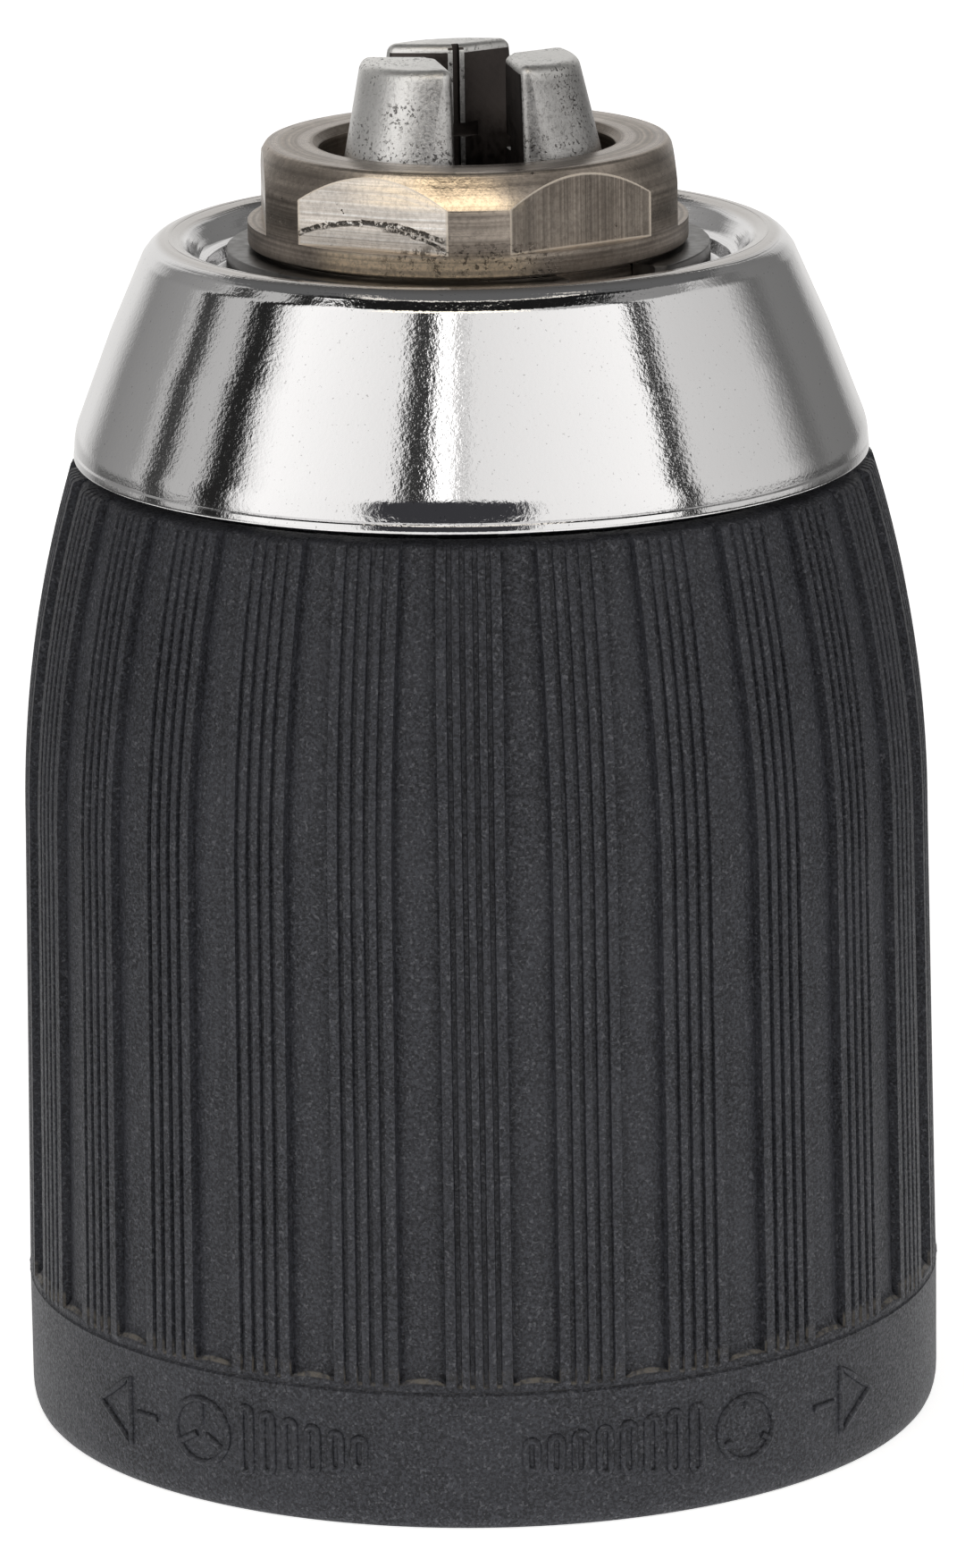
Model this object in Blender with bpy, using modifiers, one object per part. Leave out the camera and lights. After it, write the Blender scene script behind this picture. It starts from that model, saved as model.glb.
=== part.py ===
"""Keyless drill chuck, standing on its rear end with the jaws up.

The chuck axis is Z and the origin is the centre of the rear face.  The nut is turned by the
sleeve, and its conical thread drives three jaws that slide in inclined bores of the body.
Sizes are in millimetres and are turned into metres where the meshes are made.
"""
import math

import bmesh
import bpy
from mathutils import Matrix, Vector

MM = 0.001
MERGE = 0.000001
SMOOTH_ANGLE = math.radians(32)

# Jaws and their drive.  A jaw's line is tilted towards the chuck axis at the nose.
JAW_TILT = math.radians(14)
JAW_RADIUS = 3.75
JAW_SIDES = 24
JAW_FIT = 0.06
JAW_AZIMUTHS = [math.radians(-137.5 + 120 * number) for number in range(3)]
GRIP_HALF_GAP = 1.79
GRIP_LAND = 0.22
NOSE_Z = 59.4
JAW_LINE_AT_NOSE = 2.25
JAW_TIP_Z = 63.4
JAW_TAIL_Z = 28.4
TAIL_BEVEL = 0.5
BORE_CUTTER_LENGTH = 120.0
TOOTH_PITCH = 2.5
AXIAL_PITCH = TOOTH_PITCH * math.cos(JAW_TILT)
TOOTHED_TOP_Z = 57.0
TOOTH_DEPTH = 1.1
TOOTH_GAP = 0.2
CREST_WIDTH = 0.75
FLANK_SLOPE = 0.23
GROOVE_ARC = math.radians(48)
GROOVE_STEPS = 6
THREAD_ROOT_EXTRA = 0.6
THREAD_END_ROOM = 0.15

# Heights of the body's shoulders, from the rear face up.
SOCKET_DEPTH = 14.5
BORE_FLOOR_Z = 18.3
FLANGE_BACK_Z = 19.5
FLANGE_FRONT_Z = 24.1
NUT_ROOM_TOP_Z = 38.4
STEP_TOP_Z = 44.6
NECK_FOOT_Z = 46.5
GROOVE_Z = (53.3, 54.78)
COLLAR_CHAMFER_Z = 57.85
FLAT_FOOT_Z = 55.82

# Radii and edge breaks of the body.
HUB_CHAMFER = 0.5
SOCKET_CHAMFER = 1.0
BORE_FLOOR_DROP = 1.2
BORE_RADIUS = 6.76
SOCKET_RADIUS = 5.9
SCREW_HOLE_RADIUS = 3.25
HUB_RADIUS = 10.0
FLANGE_RADIUS = 17.4
NUT_NECK_RADIUS = 10.2
STEP_RADIUS = 13.2
COLLAR_RADIUS = 10.05
COLLAR_TOP_RADIUS = 9.2
GROOVE_RADIUS = 9.3
FLAT_APOTHEM = 9.31
FLAT_AZIMUTH = math.radians(-57.2)

# Nut, thrust bearing and drive.
NUT_Z = (28.5, 38.0)
NUT_RADIUS = 15.4
NUT_SPLIT_GAP = 0.15
BAND_RADII = (15.46, 17.6)
BALL_RADIUS = 1.0
BALL_COUNT = 18
BALL_PITCH_RADIUS = 16.3
BALL_Z = 26.25
WASHER_RADII = (15.1, 17.5)
REAR_WASHER_Z = (24.15, 25.2)
FRONT_WASHER_Z = (27.3, 28.4)
CAGE_RADII = (14.8, 17.8)
CAGE_HALF_HEIGHT = 0.4
POCKET_RADIUS = 1.12
POCKET_SIDES = 8
INSERT_RADII = (17.95, 18.85)
INSERT_Z = (20.6, 38.4)

# Lugs join the insert to the band's notches, and keys join it to the sleeve's keyways.
LUG_COUNT = 4
LUG_AZIMUTH = math.radians(45)
LUG_RADII = (16.9, 18.4)
LUG_WIDTH = 3.9
LUG_Z = (30.0, 36.5)
NOTCH_RADII = (16.75, 20.0)
NOTCH_WIDTH = 4.3
KEY_COUNT = 6
KEY_RADII = (18.3, 19.3)
KEY_WIDTH = 3.0
KEY_Z = (23.5, 35.5)
KEYWAY_RADII = (18.2, 19.45)
KEYWAY_WIDTH = 3.3
KEYWAY_Z = (19.0, 36.2)

# Sleeve: a slight draft up to SHOULDER_Z, then one arc to the top edge.
SLEEVE_TOP_Z = 44.55
SHOULDER_Z = 28.0
SHOULDER_RADIUS = 20.91
SLEEVE_DRAFT = 0.0161
SHOULDER_ARC = 56.5
SHOULDER_POINTS = 4
BAND_TOP_Z = 6.45
BAND_RADIUS = 21.25
BAND_CHAMFER = (0.27, 0.9)
RIB_FOOT_RADIUS = 21.38
RIB_FOOT_Z = 6.65
SLEEVE_BORE = 18.75
INSERT_SEAT_Z = 20.3
INSERT_SEAT_RADIUS = 18.92
INSERT_SEAT_TOP_Z = 38.55
FRONT_BORE = 16.82
FLUTE_COUNT = 26
FLUTE_WIDTH = 2.07
FLUTE_DEPTH = 0.6
FLUTE_FOOT_Z = 6.75
FLUTE_AZIMUTH = math.radians(-97)

# Nose ring and snap ring.
RING_EDGE_Z = 44.95
RING_EDGE_RADIUS = 18.26
RING_CONE = ((18.1, 46.0), (17.83, 47.0), (14.9, 54.2))
RING_CREST = (14.05, 55.15)
RING_FLOOR_Z = 53.15
RING_UNDERSIDE_Z = 51.65
RING_BORE = 10.38
DISH_EDGES = ((12.9, 53.15), (13.4, 54.9))
RING_INNER_SLOPE = ((15.5, 47.0), (13.6, 51.65))
SKIRT_RADII = (15.5, 16.74)
SKIRT_FOOT_Z = 39.1
SNAP_RADII = (9.36, 11.05)
SNAP_Z = (53.4, 54.6)
SNAP_GAP_AZIMUTH = math.radians(-51.5)
SNAP_GAP_ANGLE = math.radians(27)

# Rear cover on the hub.
COVER_RADII = (10.06, 18.5)
COVER_Z = (0.6, 1.9)
COVER_RIM = (17.2, 3.4)

COARSE_STEPS = 48
SLEEVE_STEPS = 2 * FLUTE_COUNT

# Colour, roughness and metallic value of each material.
MATERIALS = {
    "gunmetal": ((0.16, 0.135, 0.115), 0.34, 1.0),
    "jaw_steel": ((0.30, 0.29, 0.28), 0.48, 1.0),
    "spring_steel": ((0.10, 0.10, 0.11), 0.38, 1.0),
    "chrome": ((0.80, 0.80, 0.80), 0.08, 1.0),
    "charcoal_plastic": ((0.035, 0.035, 0.039), 0.55, 0.0),
    "nut_steel": ((0.33, 0.32, 0.31), 0.40, 1.0),
    "bearing_steel": ((0.62, 0.62, 0.63), 0.16, 1.0),
    "cage_brass": ((0.66, 0.48, 0.20), 0.35, 1.0),
    "zinc_plate": ((0.55, 0.55, 0.53), 0.36, 1.0),
    "black_plate": ((0.05, 0.05, 0.055), 0.45, 0.0),
}


def jaw_reach(height):
    """Radius of a jaw's outermost line at a height, in the rest position."""
    return (JAW_LINE_AT_NOSE + (NOSE_Z - height) * math.tan(JAW_TILT)
            + JAW_RADIUS / math.cos(JAW_TILT))


def sleeve_radius(height):
    """Outer radius of the ribbed part of the sleeve at a height."""
    if height <= SHOULDER_Z:
        return SHOULDER_RADIUS + (SHOULDER_Z - height) * SLEEVE_DRAFT
    rise = height - SHOULDER_Z
    return SHOULDER_RADIUS - SHOULDER_ARC + math.sqrt(SHOULDER_ARC ** 2 - rise ** 2)


def clear_scene():
    for item in list(bpy.data.objects):
        bpy.data.objects.remove(item)
    for collection in list(bpy.data.collections):
        bpy.data.collections.remove(collection)


def new_collection(name):
    collection = bpy.data.collections.new(name)
    bpy.context.scene.collection.children.link(collection)
    return collection


def make_material(name):
    color, roughness, metallic = MATERIALS[name]
    material = bpy.data.materials.new(name)
    material.use_nodes = True
    shader = material.node_tree.nodes["Principled BSDF"]
    shader.inputs["Base Color"].default_value = (*color, 1.0)
    shader.inputs["Roughness"].default_value = roughness
    shader.inputs["Metallic"].default_value = metallic
    material.diffuse_color = (*color, 1.0)
    return material


def mesh_object(name, shape):
    """Turn a bmesh, in millimetres, into an object in metres."""
    bmesh.ops.scale(shape, vec=(MM, MM, MM), verts=shape.verts)
    mesh = bpy.data.meshes.new(name)
    shape.to_mesh(mesh)
    shape.free()
    return bpy.data.objects.new(name, mesh)


def turned(name, outline, steps, turn=0.0):
    """Revolve a closed outline of (radius, height) points about Z.

    The outline runs down its outer side and back up its inner side.
    """
    shape = bmesh.new()
    corners = [shape.verts.new((radius, 0.0, height)) for radius, height in outline]
    for first, second in zip(corners, corners[1:] + corners[:1]):
        shape.edges.new((first, second))
    piece = mesh_object(name, shape)
    screw = piece.modifiers.new("turning", 'SCREW')
    screw.axis = 'Z'
    screw.steps = steps
    screw.render_steps = steps
    screw.use_merge_vertices = True
    screw.merge_threshold = MERGE
    piece.rotation_euler.z = turn
    return piece


def ring_outline(radii, heights):
    inner, outer = radii
    low, high = heights
    return [(outer, high), (outer, low), (inner, low), (inner, high)]


def blocks_around(name, count, first_azimuth, radii, width, heights):
    """Equal blocks set around Z, each from one radius to another and centred on its azimuth."""
    shape = bmesh.new()
    for number in range(count):
        azimuth = first_azimuth + 2 * math.pi * number / count
        made = bmesh.ops.create_cube(shape, size=1.0)
        size = Matrix.Diagonal((radii[1] - radii[0], width, heights[1] - heights[0], 1.0))
        centre = Vector(((radii[0] + radii[1]) / 2, 0.0, (heights[0] + heights[1]) / 2))
        place = Matrix.Rotation(azimuth, 4, 'Z') @ Matrix.Translation(centre) @ size
        bmesh.ops.transform(shape, matrix=place, verts=made["verts"])
    return mesh_object(name, shape)


def keep_as_cutter(cutter, cutters):
    cutters.objects.link(cutter)
    cutter.hide_render = True
    cutter.display_type = 'WIRE'
    return cutter


def combine(piece, other, operation='DIFFERENCE'):
    boolean = piece.modifiers.new(other.name, 'BOOLEAN')
    boolean.operation = operation
    boolean.solver = 'EXACT'
    boolean.object = other


def add_part(piece, parts, material):
    piece.data.materials.append(material)
    parts.objects.link(piece)
    return piece


def settle(piece):
    """Freeze a part's modifiers into its mesh and shade its round faces smooth."""
    depsgraph = bpy.context.evaluated_depsgraph_get()
    mesh = bpy.data.meshes.new_from_object(piece.evaluated_get(depsgraph))
    piece.modifiers.clear()
    piece.data = mesh
    mesh.shade_smooth()
    mesh.set_sharp_from_angle(angle=SMOOTH_ANGLE)


def jaw_line():
    """Frame of a jaw whose azimuth is 0: local Z runs along the jaw towards its tip."""
    return (Matrix.Translation((JAW_LINE_AT_NOSE, 0.0, NOSE_Z))
            @ Matrix.Rotation(-JAW_TILT, 4, 'Y'))


def metric(matrix):
    """The same placement with its millimetre shift turned into metres."""
    placed = matrix.copy()
    placed.translation = matrix.translation * MM
    return placed


def slice_off(shape, point, normal):
    """Cut a closed shape by a plane and drop the side that the normal points to."""
    geometry = shape.verts[:] + shape.edges[:] + shape.faces[:]
    cut = bmesh.ops.bisect_plane(shape, geom=geometry, plane_co=point, plane_no=normal,
                                 clear_outer=True)
    rim = [item for item in cut["geom_cut"] if isinstance(item, bmesh.types.BMEdge)]
    bmesh.ops.contextual_create(shape, geom=rim)


def make_jaw_blank(name):
    """A round bar cut to a three-sided gripping wedge, with its local origin on the jaw line."""
    shape = bmesh.new()
    reach = 2 * (JAW_TIP_Z - JAW_TAIL_Z)
    bmesh.ops.create_cone(shape, cap_ends=True, segments=JAW_SIDES, radius1=JAW_RADIUS,
                          radius2=JAW_RADIUS, depth=2 * reach)
    bmesh.ops.transform(shape, matrix=jaw_line(), verts=shape.verts)
    slice_off(shape, Vector((0, 0, JAW_TIP_Z)), Vector((0, 0, 1)))
    slice_off(shape, Vector((0, 0, JAW_TAIL_Z)), Vector((0, 0, -1)))
    for side in (-1, 1):
        face_normal = Vector((-math.sin(math.radians(60)), side * 0.5, 0))
        slice_off(shape, Vector((GRIP_HALF_GAP, 0, 0)), face_normal)
    slice_off(shape, Vector((GRIP_HALF_GAP + GRIP_LAND, 0, 0)), Vector((-1, 0, 0)))
    bevel_radius = jaw_reach(JAW_TAIL_Z) - TAIL_BEVEL
    slice_off(shape, Vector((bevel_radius, 0, JAW_TAIL_Z)), Vector((1, 0, -0.6)).normalized())
    bmesh.ops.recalc_face_normals(shape, faces=shape.faces)
    bmesh.ops.transform(shape, matrix=jaw_line().inverted(), verts=shape.verts)
    return mesh_object(name, shape)


def thread_height(azimuth, turn):
    """Height of the nut thread's crest line at an azimuth, on a given turn."""
    return NUT_Z[0] + AXIAL_PITCH * (azimuth / (2 * math.pi) + turn)


def make_groove_cutter(name, azimuth):
    """The arcs that cut one jaw's teeth, in phase with the nut's thread at the jaw's azimuth."""
    shape = bmesh.new()
    middle = sum(NUT_Z) / 2
    floor_radius = jaw_reach(middle) - TOOTH_DEPTH - TOOTH_GAP
    mouth_radius = floor_radius + 2 * TOOTH_DEPTH
    floor_half = CREST_WIDTH / 2 + TOOTH_GAP
    mouth_half = floor_half + FLANK_SLOPE * (mouth_radius - floor_radius)
    section = [(floor_radius, -floor_half), (mouth_radius, -mouth_half),
               (mouth_radius, mouth_half), (floor_radius, floor_half)]
    start = Matrix.Rotation(-GROOVE_ARC / 2, 4, 'Z')
    lead = Matrix.Rotation(math.atan(AXIAL_PITCH / (2 * math.pi * floor_radius)), 4, 'X')
    first_height = thread_height(azimuth, 0)
    first_turn = math.ceil((JAW_TAIL_Z - mouth_half - first_height) / AXIAL_PITCH)
    last_turn = math.floor((TOOTHED_TOP_Z - first_height) / AXIAL_PITCH)
    for turn in range(first_turn, last_turn + 1):
        older = len(shape.verts)
        corners = [shape.verts.new(start @ Vector((radius, 0, rise))) for radius, rise in section]
        face = shape.faces.new(corners)
        bmesh.ops.spin(shape, geom=corners + face.edges[:] + [face], cent=(0, 0, 0),
                       axis=(0, 0, 1), angle=GROOVE_ARC, steps=GROOVE_STEPS)
        height = thread_height(azimuth, turn)
        shift = Vector((jaw_reach(height) - jaw_reach(middle), 0, height))
        bmesh.ops.transform(shape, matrix=Matrix.Translation(shift) @ lead,
                            verts=shape.verts[:][older:])
    bmesh.ops.recalc_face_normals(shape, faces=shape.faces)
    bmesh.ops.transform(shape, matrix=Matrix.Rotation(azimuth, 4, 'Z'), verts=shape.verts)
    return mesh_object(name, shape)


def make_jaws(parts, cutters, material):
    for number, azimuth in enumerate(JAW_AZIMUTHS, start=1):
        jaw = make_jaw_blank(f"jaw_{number}")
        jaw.matrix_world = metric(Matrix.Rotation(azimuth, 4, 'Z') @ jaw_line())
        combine(jaw, keep_as_cutter(make_groove_cutter(f"jaw_{number}_grooves", azimuth), cutters))
        add_part(jaw, parts, material)


def make_jaw_bores(name):
    """Three bars, a little larger than the jaws, that cut their bores in the body."""
    shape = bmesh.new()
    for azimuth in JAW_AZIMUTHS:
        made = bmesh.ops.create_cone(shape, cap_ends=True, segments=JAW_SIDES,
                                     radius1=JAW_RADIUS + JAW_FIT, radius2=JAW_RADIUS + JAW_FIT,
                                     depth=BORE_CUTTER_LENGTH)
        place = Matrix.Rotation(azimuth, 4, 'Z') @ jaw_line()
        bmesh.ops.transform(shape, matrix=place, verts=made["verts"])
    return mesh_object(name, shape)


def make_body(parts, cutters, material):
    outline = [
        (COLLAR_TOP_RADIUS, NOSE_Z),
        (COLLAR_RADIUS, COLLAR_CHAMFER_Z),
        (COLLAR_RADIUS, GROOVE_Z[1]),
        (GROOVE_RADIUS, GROOVE_Z[1]),
        (GROOVE_RADIUS, GROOVE_Z[0]),
        (COLLAR_RADIUS, GROOVE_Z[0]),
        (COLLAR_RADIUS, NECK_FOOT_Z),
        (STEP_RADIUS, STEP_TOP_Z),
        (STEP_RADIUS, NUT_ROOM_TOP_Z),
        (NUT_NECK_RADIUS, NUT_ROOM_TOP_Z),
        (NUT_NECK_RADIUS, FLANGE_FRONT_Z),
        (FLANGE_RADIUS, FLANGE_FRONT_Z),
        (FLANGE_RADIUS, FLANGE_BACK_Z),
        (HUB_RADIUS, FLANGE_BACK_Z),
        (HUB_RADIUS, HUB_CHAMFER),
        (HUB_RADIUS - HUB_CHAMFER, 0.0),
        (SOCKET_RADIUS + SOCKET_CHAMFER, 0.0),
        (SOCKET_RADIUS, SOCKET_CHAMFER),
        (SOCKET_RADIUS, SOCKET_DEPTH),
        (SCREW_HOLE_RADIUS, SOCKET_DEPTH + SOCKET_CHAMFER),
        (SCREW_HOLE_RADIUS, BORE_FLOOR_Z - BORE_FLOOR_DROP),
        (BORE_RADIUS, BORE_FLOOR_Z),
        (BORE_RADIUS, NOSE_Z),
    ]
    body = turned("chuck_body", outline, COARSE_STEPS)
    flats = blocks_around("spanner_flat_cutter", 6, FLAT_AZIMUTH, (FLAT_APOTHEM, FLAT_APOTHEM + 3),
                          14.0, (FLAT_FOOT_Z, NOSE_Z + 2))
    combine(body, keep_as_cutter(flats, cutters))
    bores = make_jaw_bores("jaw_bore_cutter")
    combine(body, keep_as_cutter(bores, cutters))
    add_part(body, parts, material)


def make_nut_thread(name):
    """The nut's internal ridge: one trapezoid section lofted along a conical helix."""
    shape = bmesh.new()
    root_depth = TOOTH_DEPTH + THREAD_ROOT_EXTRA
    crest_half = CREST_WIDTH / 2
    root_half = crest_half + FLANK_SLOPE * root_depth
    end_room = root_half + THREAD_END_ROOM
    first = math.ceil(end_room / AXIAL_PITCH * COARSE_STEPS)
    last = math.floor((NUT_Z[1] - NUT_Z[0] - end_room) / AXIAL_PITCH * COARSE_STEPS)
    previous = None
    for step in range(first, last + 1):
        azimuth = 2 * math.pi * step / COARSE_STEPS
        height = thread_height(azimuth, 0)
        crest = jaw_reach(height) - TOOTH_DEPTH
        section = [(crest, -crest_half), (crest + root_depth, -root_half),
                   (crest + root_depth, root_half), (crest, crest_half)]
        turn = Matrix.Rotation(azimuth, 4, 'Z')
        corners = [shape.verts.new(turn @ Vector((radius, 0, height + rise)))
                   for radius, rise in section]
        if previous is None:
            shape.faces.new(corners)
        else:
            for here in range(4):
                after = (here + 1) % 4
                shape.faces.new((previous[here], previous[after], corners[after], corners[here]))
        previous = corners
    shape.faces.new(previous)
    bmesh.ops.recalc_face_normals(shape, faces=shape.faces)
    return mesh_object(name, shape)


def make_nut(parts, cutters, materials):
    low, high = NUT_Z
    outline = [
        (NUT_RADIUS, high),
        (NUT_RADIUS, low),
        (jaw_reach(low) + TOOTH_GAP, low),
        (jaw_reach(high) + TOOTH_GAP, high),
    ]
    thread = keep_as_cutter(make_nut_thread("nut_thread"), cutters)
    for letter, side in (("a", 1), ("b", -1)):
        half = turned(f"nut_half_{letter}", outline, COARSE_STEPS)
        combine(half, thread, 'UNION')
        azimuth = side * math.pi / 2
        other_side = blocks_around(f"nut_split_{letter}", 1, azimuth, (-NUT_SPLIT_GAP, 30.0), 60.0,
                                   (low - 2, high + 2))
        combine(half, keep_as_cutter(other_side, cutters))
        add_part(half, parts, materials["nut_steel"])

    band = turned("nut_band", ring_outline(BAND_RADII, NUT_Z), COARSE_STEPS)
    notches = blocks_around("band_notch_cutter", LUG_COUNT, LUG_AZIMUTH, NOTCH_RADII, NOTCH_WIDTH,
                            (low - 2, high + 2))
    combine(band, keep_as_cutter(notches, cutters))
    add_part(band, parts, materials["zinc_plate"])


def make_bearing(parts, cutters, materials):
    washers = (("rear_race_washer", REAR_WASHER_Z), ("front_race_washer", FRONT_WASHER_Z))
    for name, heights in washers:
        washer = turned(name, ring_outline(WASHER_RADII, heights), COARSE_STEPS)
        add_part(washer, parts, materials["bearing_steel"])

    cage_heights = (BALL_Z - CAGE_HALF_HEIGHT, BALL_Z + CAGE_HALF_HEIGHT)
    cage = turned("ball_cage", ring_outline(CAGE_RADII, cage_heights), COARSE_STEPS)
    pockets = bmesh.new()
    ball_mesh = None
    for number in range(BALL_COUNT):
        azimuth = 2 * math.pi * (number + 0.5) / BALL_COUNT
        centre = Vector((BALL_PITCH_RADIUS * math.cos(azimuth),
                         BALL_PITCH_RADIUS * math.sin(azimuth), BALL_Z))
        bmesh.ops.create_cone(pockets, cap_ends=True, segments=POCKET_SIDES,
                              radius1=POCKET_RADIUS, radius2=POCKET_RADIUS,
                              depth=4 * BALL_RADIUS, matrix=Matrix.Translation(centre))
        if ball_mesh is None:
            sphere = bmesh.new()
            bmesh.ops.create_uvsphere(sphere, u_segments=8, v_segments=6, radius=BALL_RADIUS)
            ball = mesh_object("ball_01", sphere)
            ball_mesh = ball.data
            ball_mesh.materials.append(materials["bearing_steel"])
            ball_mesh.shade_smooth()
        else:
            ball = bpy.data.objects.new(f"ball_{number + 1:02d}", ball_mesh)
        ball.location = centre * MM
        parts.objects.link(ball)
    combine(cage, keep_as_cutter(mesh_object("cage_pocket_cutter", pockets), cutters))
    add_part(cage, parts, materials["cage_brass"])


def make_drive_insert(parts, cutters, material):
    insert = turned("drive_insert", ring_outline(INSERT_RADII, INSERT_Z), COARSE_STEPS)
    lugs = blocks_around("insert_lugs", LUG_COUNT, LUG_AZIMUTH, LUG_RADII, LUG_WIDTH, LUG_Z)
    combine(insert, keep_as_cutter(lugs, cutters), 'UNION')
    keys = blocks_around("insert_keys", KEY_COUNT, 0.0, KEY_RADII, KEY_WIDTH, KEY_Z)
    combine(insert, keep_as_cutter(keys, cutters), 'UNION')
    add_part(insert, parts, material)


def make_flute_cutter(name):
    """Shallow channels that follow the sleeve's outer line and end in a ramp above the band."""
    heights = [FLUTE_FOOT_Z + FLUTE_DEPTH, SHOULDER_Z]
    top = SLEEVE_TOP_Z + 1.0
    for number in range(1, SHOULDER_POINTS + 1):
        heights.append(SHOULDER_Z + (top - SHOULDER_Z) * number / SHOULDER_POINTS)
    floor = [(sleeve_radius(height) - FLUTE_DEPTH, height) for height in heights]
    foot_radius = sleeve_radius(FLUTE_FOOT_Z)
    outline = [(foot_radius + 2.0, FLUTE_FOOT_Z - 2.0)] + floor + [(foot_radius + 2.0, top)]
    shape = bmesh.new()
    for number in range(FLUTE_COUNT):
        azimuth = FLUTE_AZIMUTH + 2 * math.pi * number / FLUTE_COUNT
        corners = [shape.verts.new((radius, -FLUTE_WIDTH / 2, height)) for radius, height in outline]
        face = shape.faces.new(corners)
        raised = bmesh.ops.extrude_face_region(shape, geom=[face])["geom"]
        far_corners = [item for item in raised if isinstance(item, bmesh.types.BMVert)]
        bmesh.ops.translate(shape, vec=(0, FLUTE_WIDTH, 0), verts=far_corners)
        bmesh.ops.transform(shape, matrix=Matrix.Rotation(azimuth, 4, 'Z'),
                            verts=corners + far_corners)
    bmesh.ops.recalc_face_normals(shape, faces=shape.faces)
    return mesh_object(name, shape)


def make_sleeve(parts, cutters, material):
    outline = []
    for number in range(SHOULDER_POINTS, -1, -1):
        height = SHOULDER_Z + (SLEEVE_TOP_Z - SHOULDER_Z) * number / SHOULDER_POINTS
        outline.append((sleeve_radius(height), height))
    outline += [
        (RIB_FOOT_RADIUS, RIB_FOOT_Z),
        (BAND_RADIUS, BAND_TOP_Z),
        (BAND_RADIUS, BAND_CHAMFER[1]),
        (BAND_RADIUS - BAND_CHAMFER[0], 0.0),
        (SLEEVE_BORE, 0.0),
        (SLEEVE_BORE, INSERT_SEAT_Z),
        (INSERT_SEAT_RADIUS, INSERT_SEAT_Z),
        (INSERT_SEAT_RADIUS, INSERT_SEAT_TOP_Z),
        (FRONT_BORE, INSERT_SEAT_TOP_Z),
        (FRONT_BORE, SLEEVE_TOP_Z),
    ]
    half_step = math.pi / SLEEVE_STEPS
    sleeve = turned("grip_sleeve", outline, SLEEVE_STEPS, FLUTE_AZIMUTH + half_step)
    combine(sleeve, keep_as_cutter(make_flute_cutter("flute_cutter"), cutters))
    keyways = blocks_around("keyway_cutter", KEY_COUNT, 0.0, KEYWAY_RADII, KEYWAY_WIDTH, KEYWAY_Z)
    combine(sleeve, keep_as_cutter(keyways, cutters))
    add_part(sleeve, parts, material)


def make_nose_ring(parts, material):
    outline = [
        RING_CREST,
        *reversed(RING_CONE),
        (RING_EDGE_RADIUS, RING_EDGE_Z),
        (SKIRT_RADII[1], RING_EDGE_Z),
        (SKIRT_RADII[1], SKIRT_FOOT_Z),
        (SKIRT_RADII[0], SKIRT_FOOT_Z),
        *RING_INNER_SLOPE,
        (RING_BORE, RING_UNDERSIDE_Z),
        (RING_BORE, RING_FLOOR_Z),
        *DISH_EDGES,
    ]
    add_part(turned("nose_ring", outline, SLEEVE_STEPS), parts, material)


def make_snap_ring(parts, cutters, material):
    ring = turned("snap_ring", ring_outline(SNAP_RADII, SNAP_Z), COARSE_STEPS)
    half = SNAP_GAP_ANGLE / 2
    reach = 20.0
    wedge = bmesh.new()
    corners = [wedge.verts.new((0, 0, SNAP_Z[0] - 1))]
    for side in (-1, 1):
        corners.append(wedge.verts.new((reach * math.cos(half), side * reach * math.sin(half),
                                        SNAP_Z[0] - 1)))
    face = wedge.faces.new(corners)
    raised = bmesh.ops.extrude_face_region(wedge, geom=[face])["geom"]
    top_corners = [item for item in raised if isinstance(item, bmesh.types.BMVert)]
    bmesh.ops.translate(wedge, vec=(0, 0, 4), verts=top_corners)
    bmesh.ops.transform(wedge, matrix=Matrix.Rotation(SNAP_GAP_AZIMUTH, 4, 'Z'), verts=wedge.verts)
    bmesh.ops.recalc_face_normals(wedge, faces=wedge.faces)
    combine(ring, keep_as_cutter(mesh_object("snap_gap_cutter", wedge), cutters))
    add_part(ring, parts, material)


def make_rear_cover(parts, material):
    rim_radius, rim_top = COVER_RIM
    outline = [
        (COVER_RADII[1], rim_top),
        (COVER_RADII[1], COVER_Z[0]),
        (COVER_RADII[0], COVER_Z[0]),
        (COVER_RADII[0], COVER_Z[1]),
        (rim_radius, COVER_Z[1]),
        (rim_radius, rim_top),
    ]
    add_part(turned("rear_cover", outline, COARSE_STEPS), parts, material)


def main():
    clear_scene()
    parts = new_collection("drill_chuck")
    cutters = new_collection("cutters")
    materials = {name: make_material(name) for name in MATERIALS}
    make_body(parts, cutters, materials["gunmetal"])
    make_jaws(parts, cutters, materials["jaw_steel"])
    make_nut(parts, cutters, materials)
    make_bearing(parts, cutters, materials)
    make_drive_insert(parts, cutters, materials["zinc_plate"])
    make_sleeve(parts, cutters, materials["charcoal_plastic"])
    make_nose_ring(parts, materials["chrome"])
    make_snap_ring(parts, cutters, materials["spring_steel"])
    make_rear_cover(parts, materials["black_plate"])
    for piece in parts.objects:
        if piece.modifiers:
            settle(piece)


main()
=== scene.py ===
"""Looks of the keyless drill chuck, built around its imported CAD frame.

Everything is in millimetres about the chuck axis, Z, and becomes metres when a piece is made.
Heights and radii that the CAD fixes are read from the frame.  Azimuths are in degrees from the
camera's side towards +X, unless a name says that they are radians from +X.
"""

import random
from math import atan, ceil, cos, floor, pi, radians, sin, sqrt, tan

import bmesh
import bpy
from mathutils import Matrix, Vector


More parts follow.
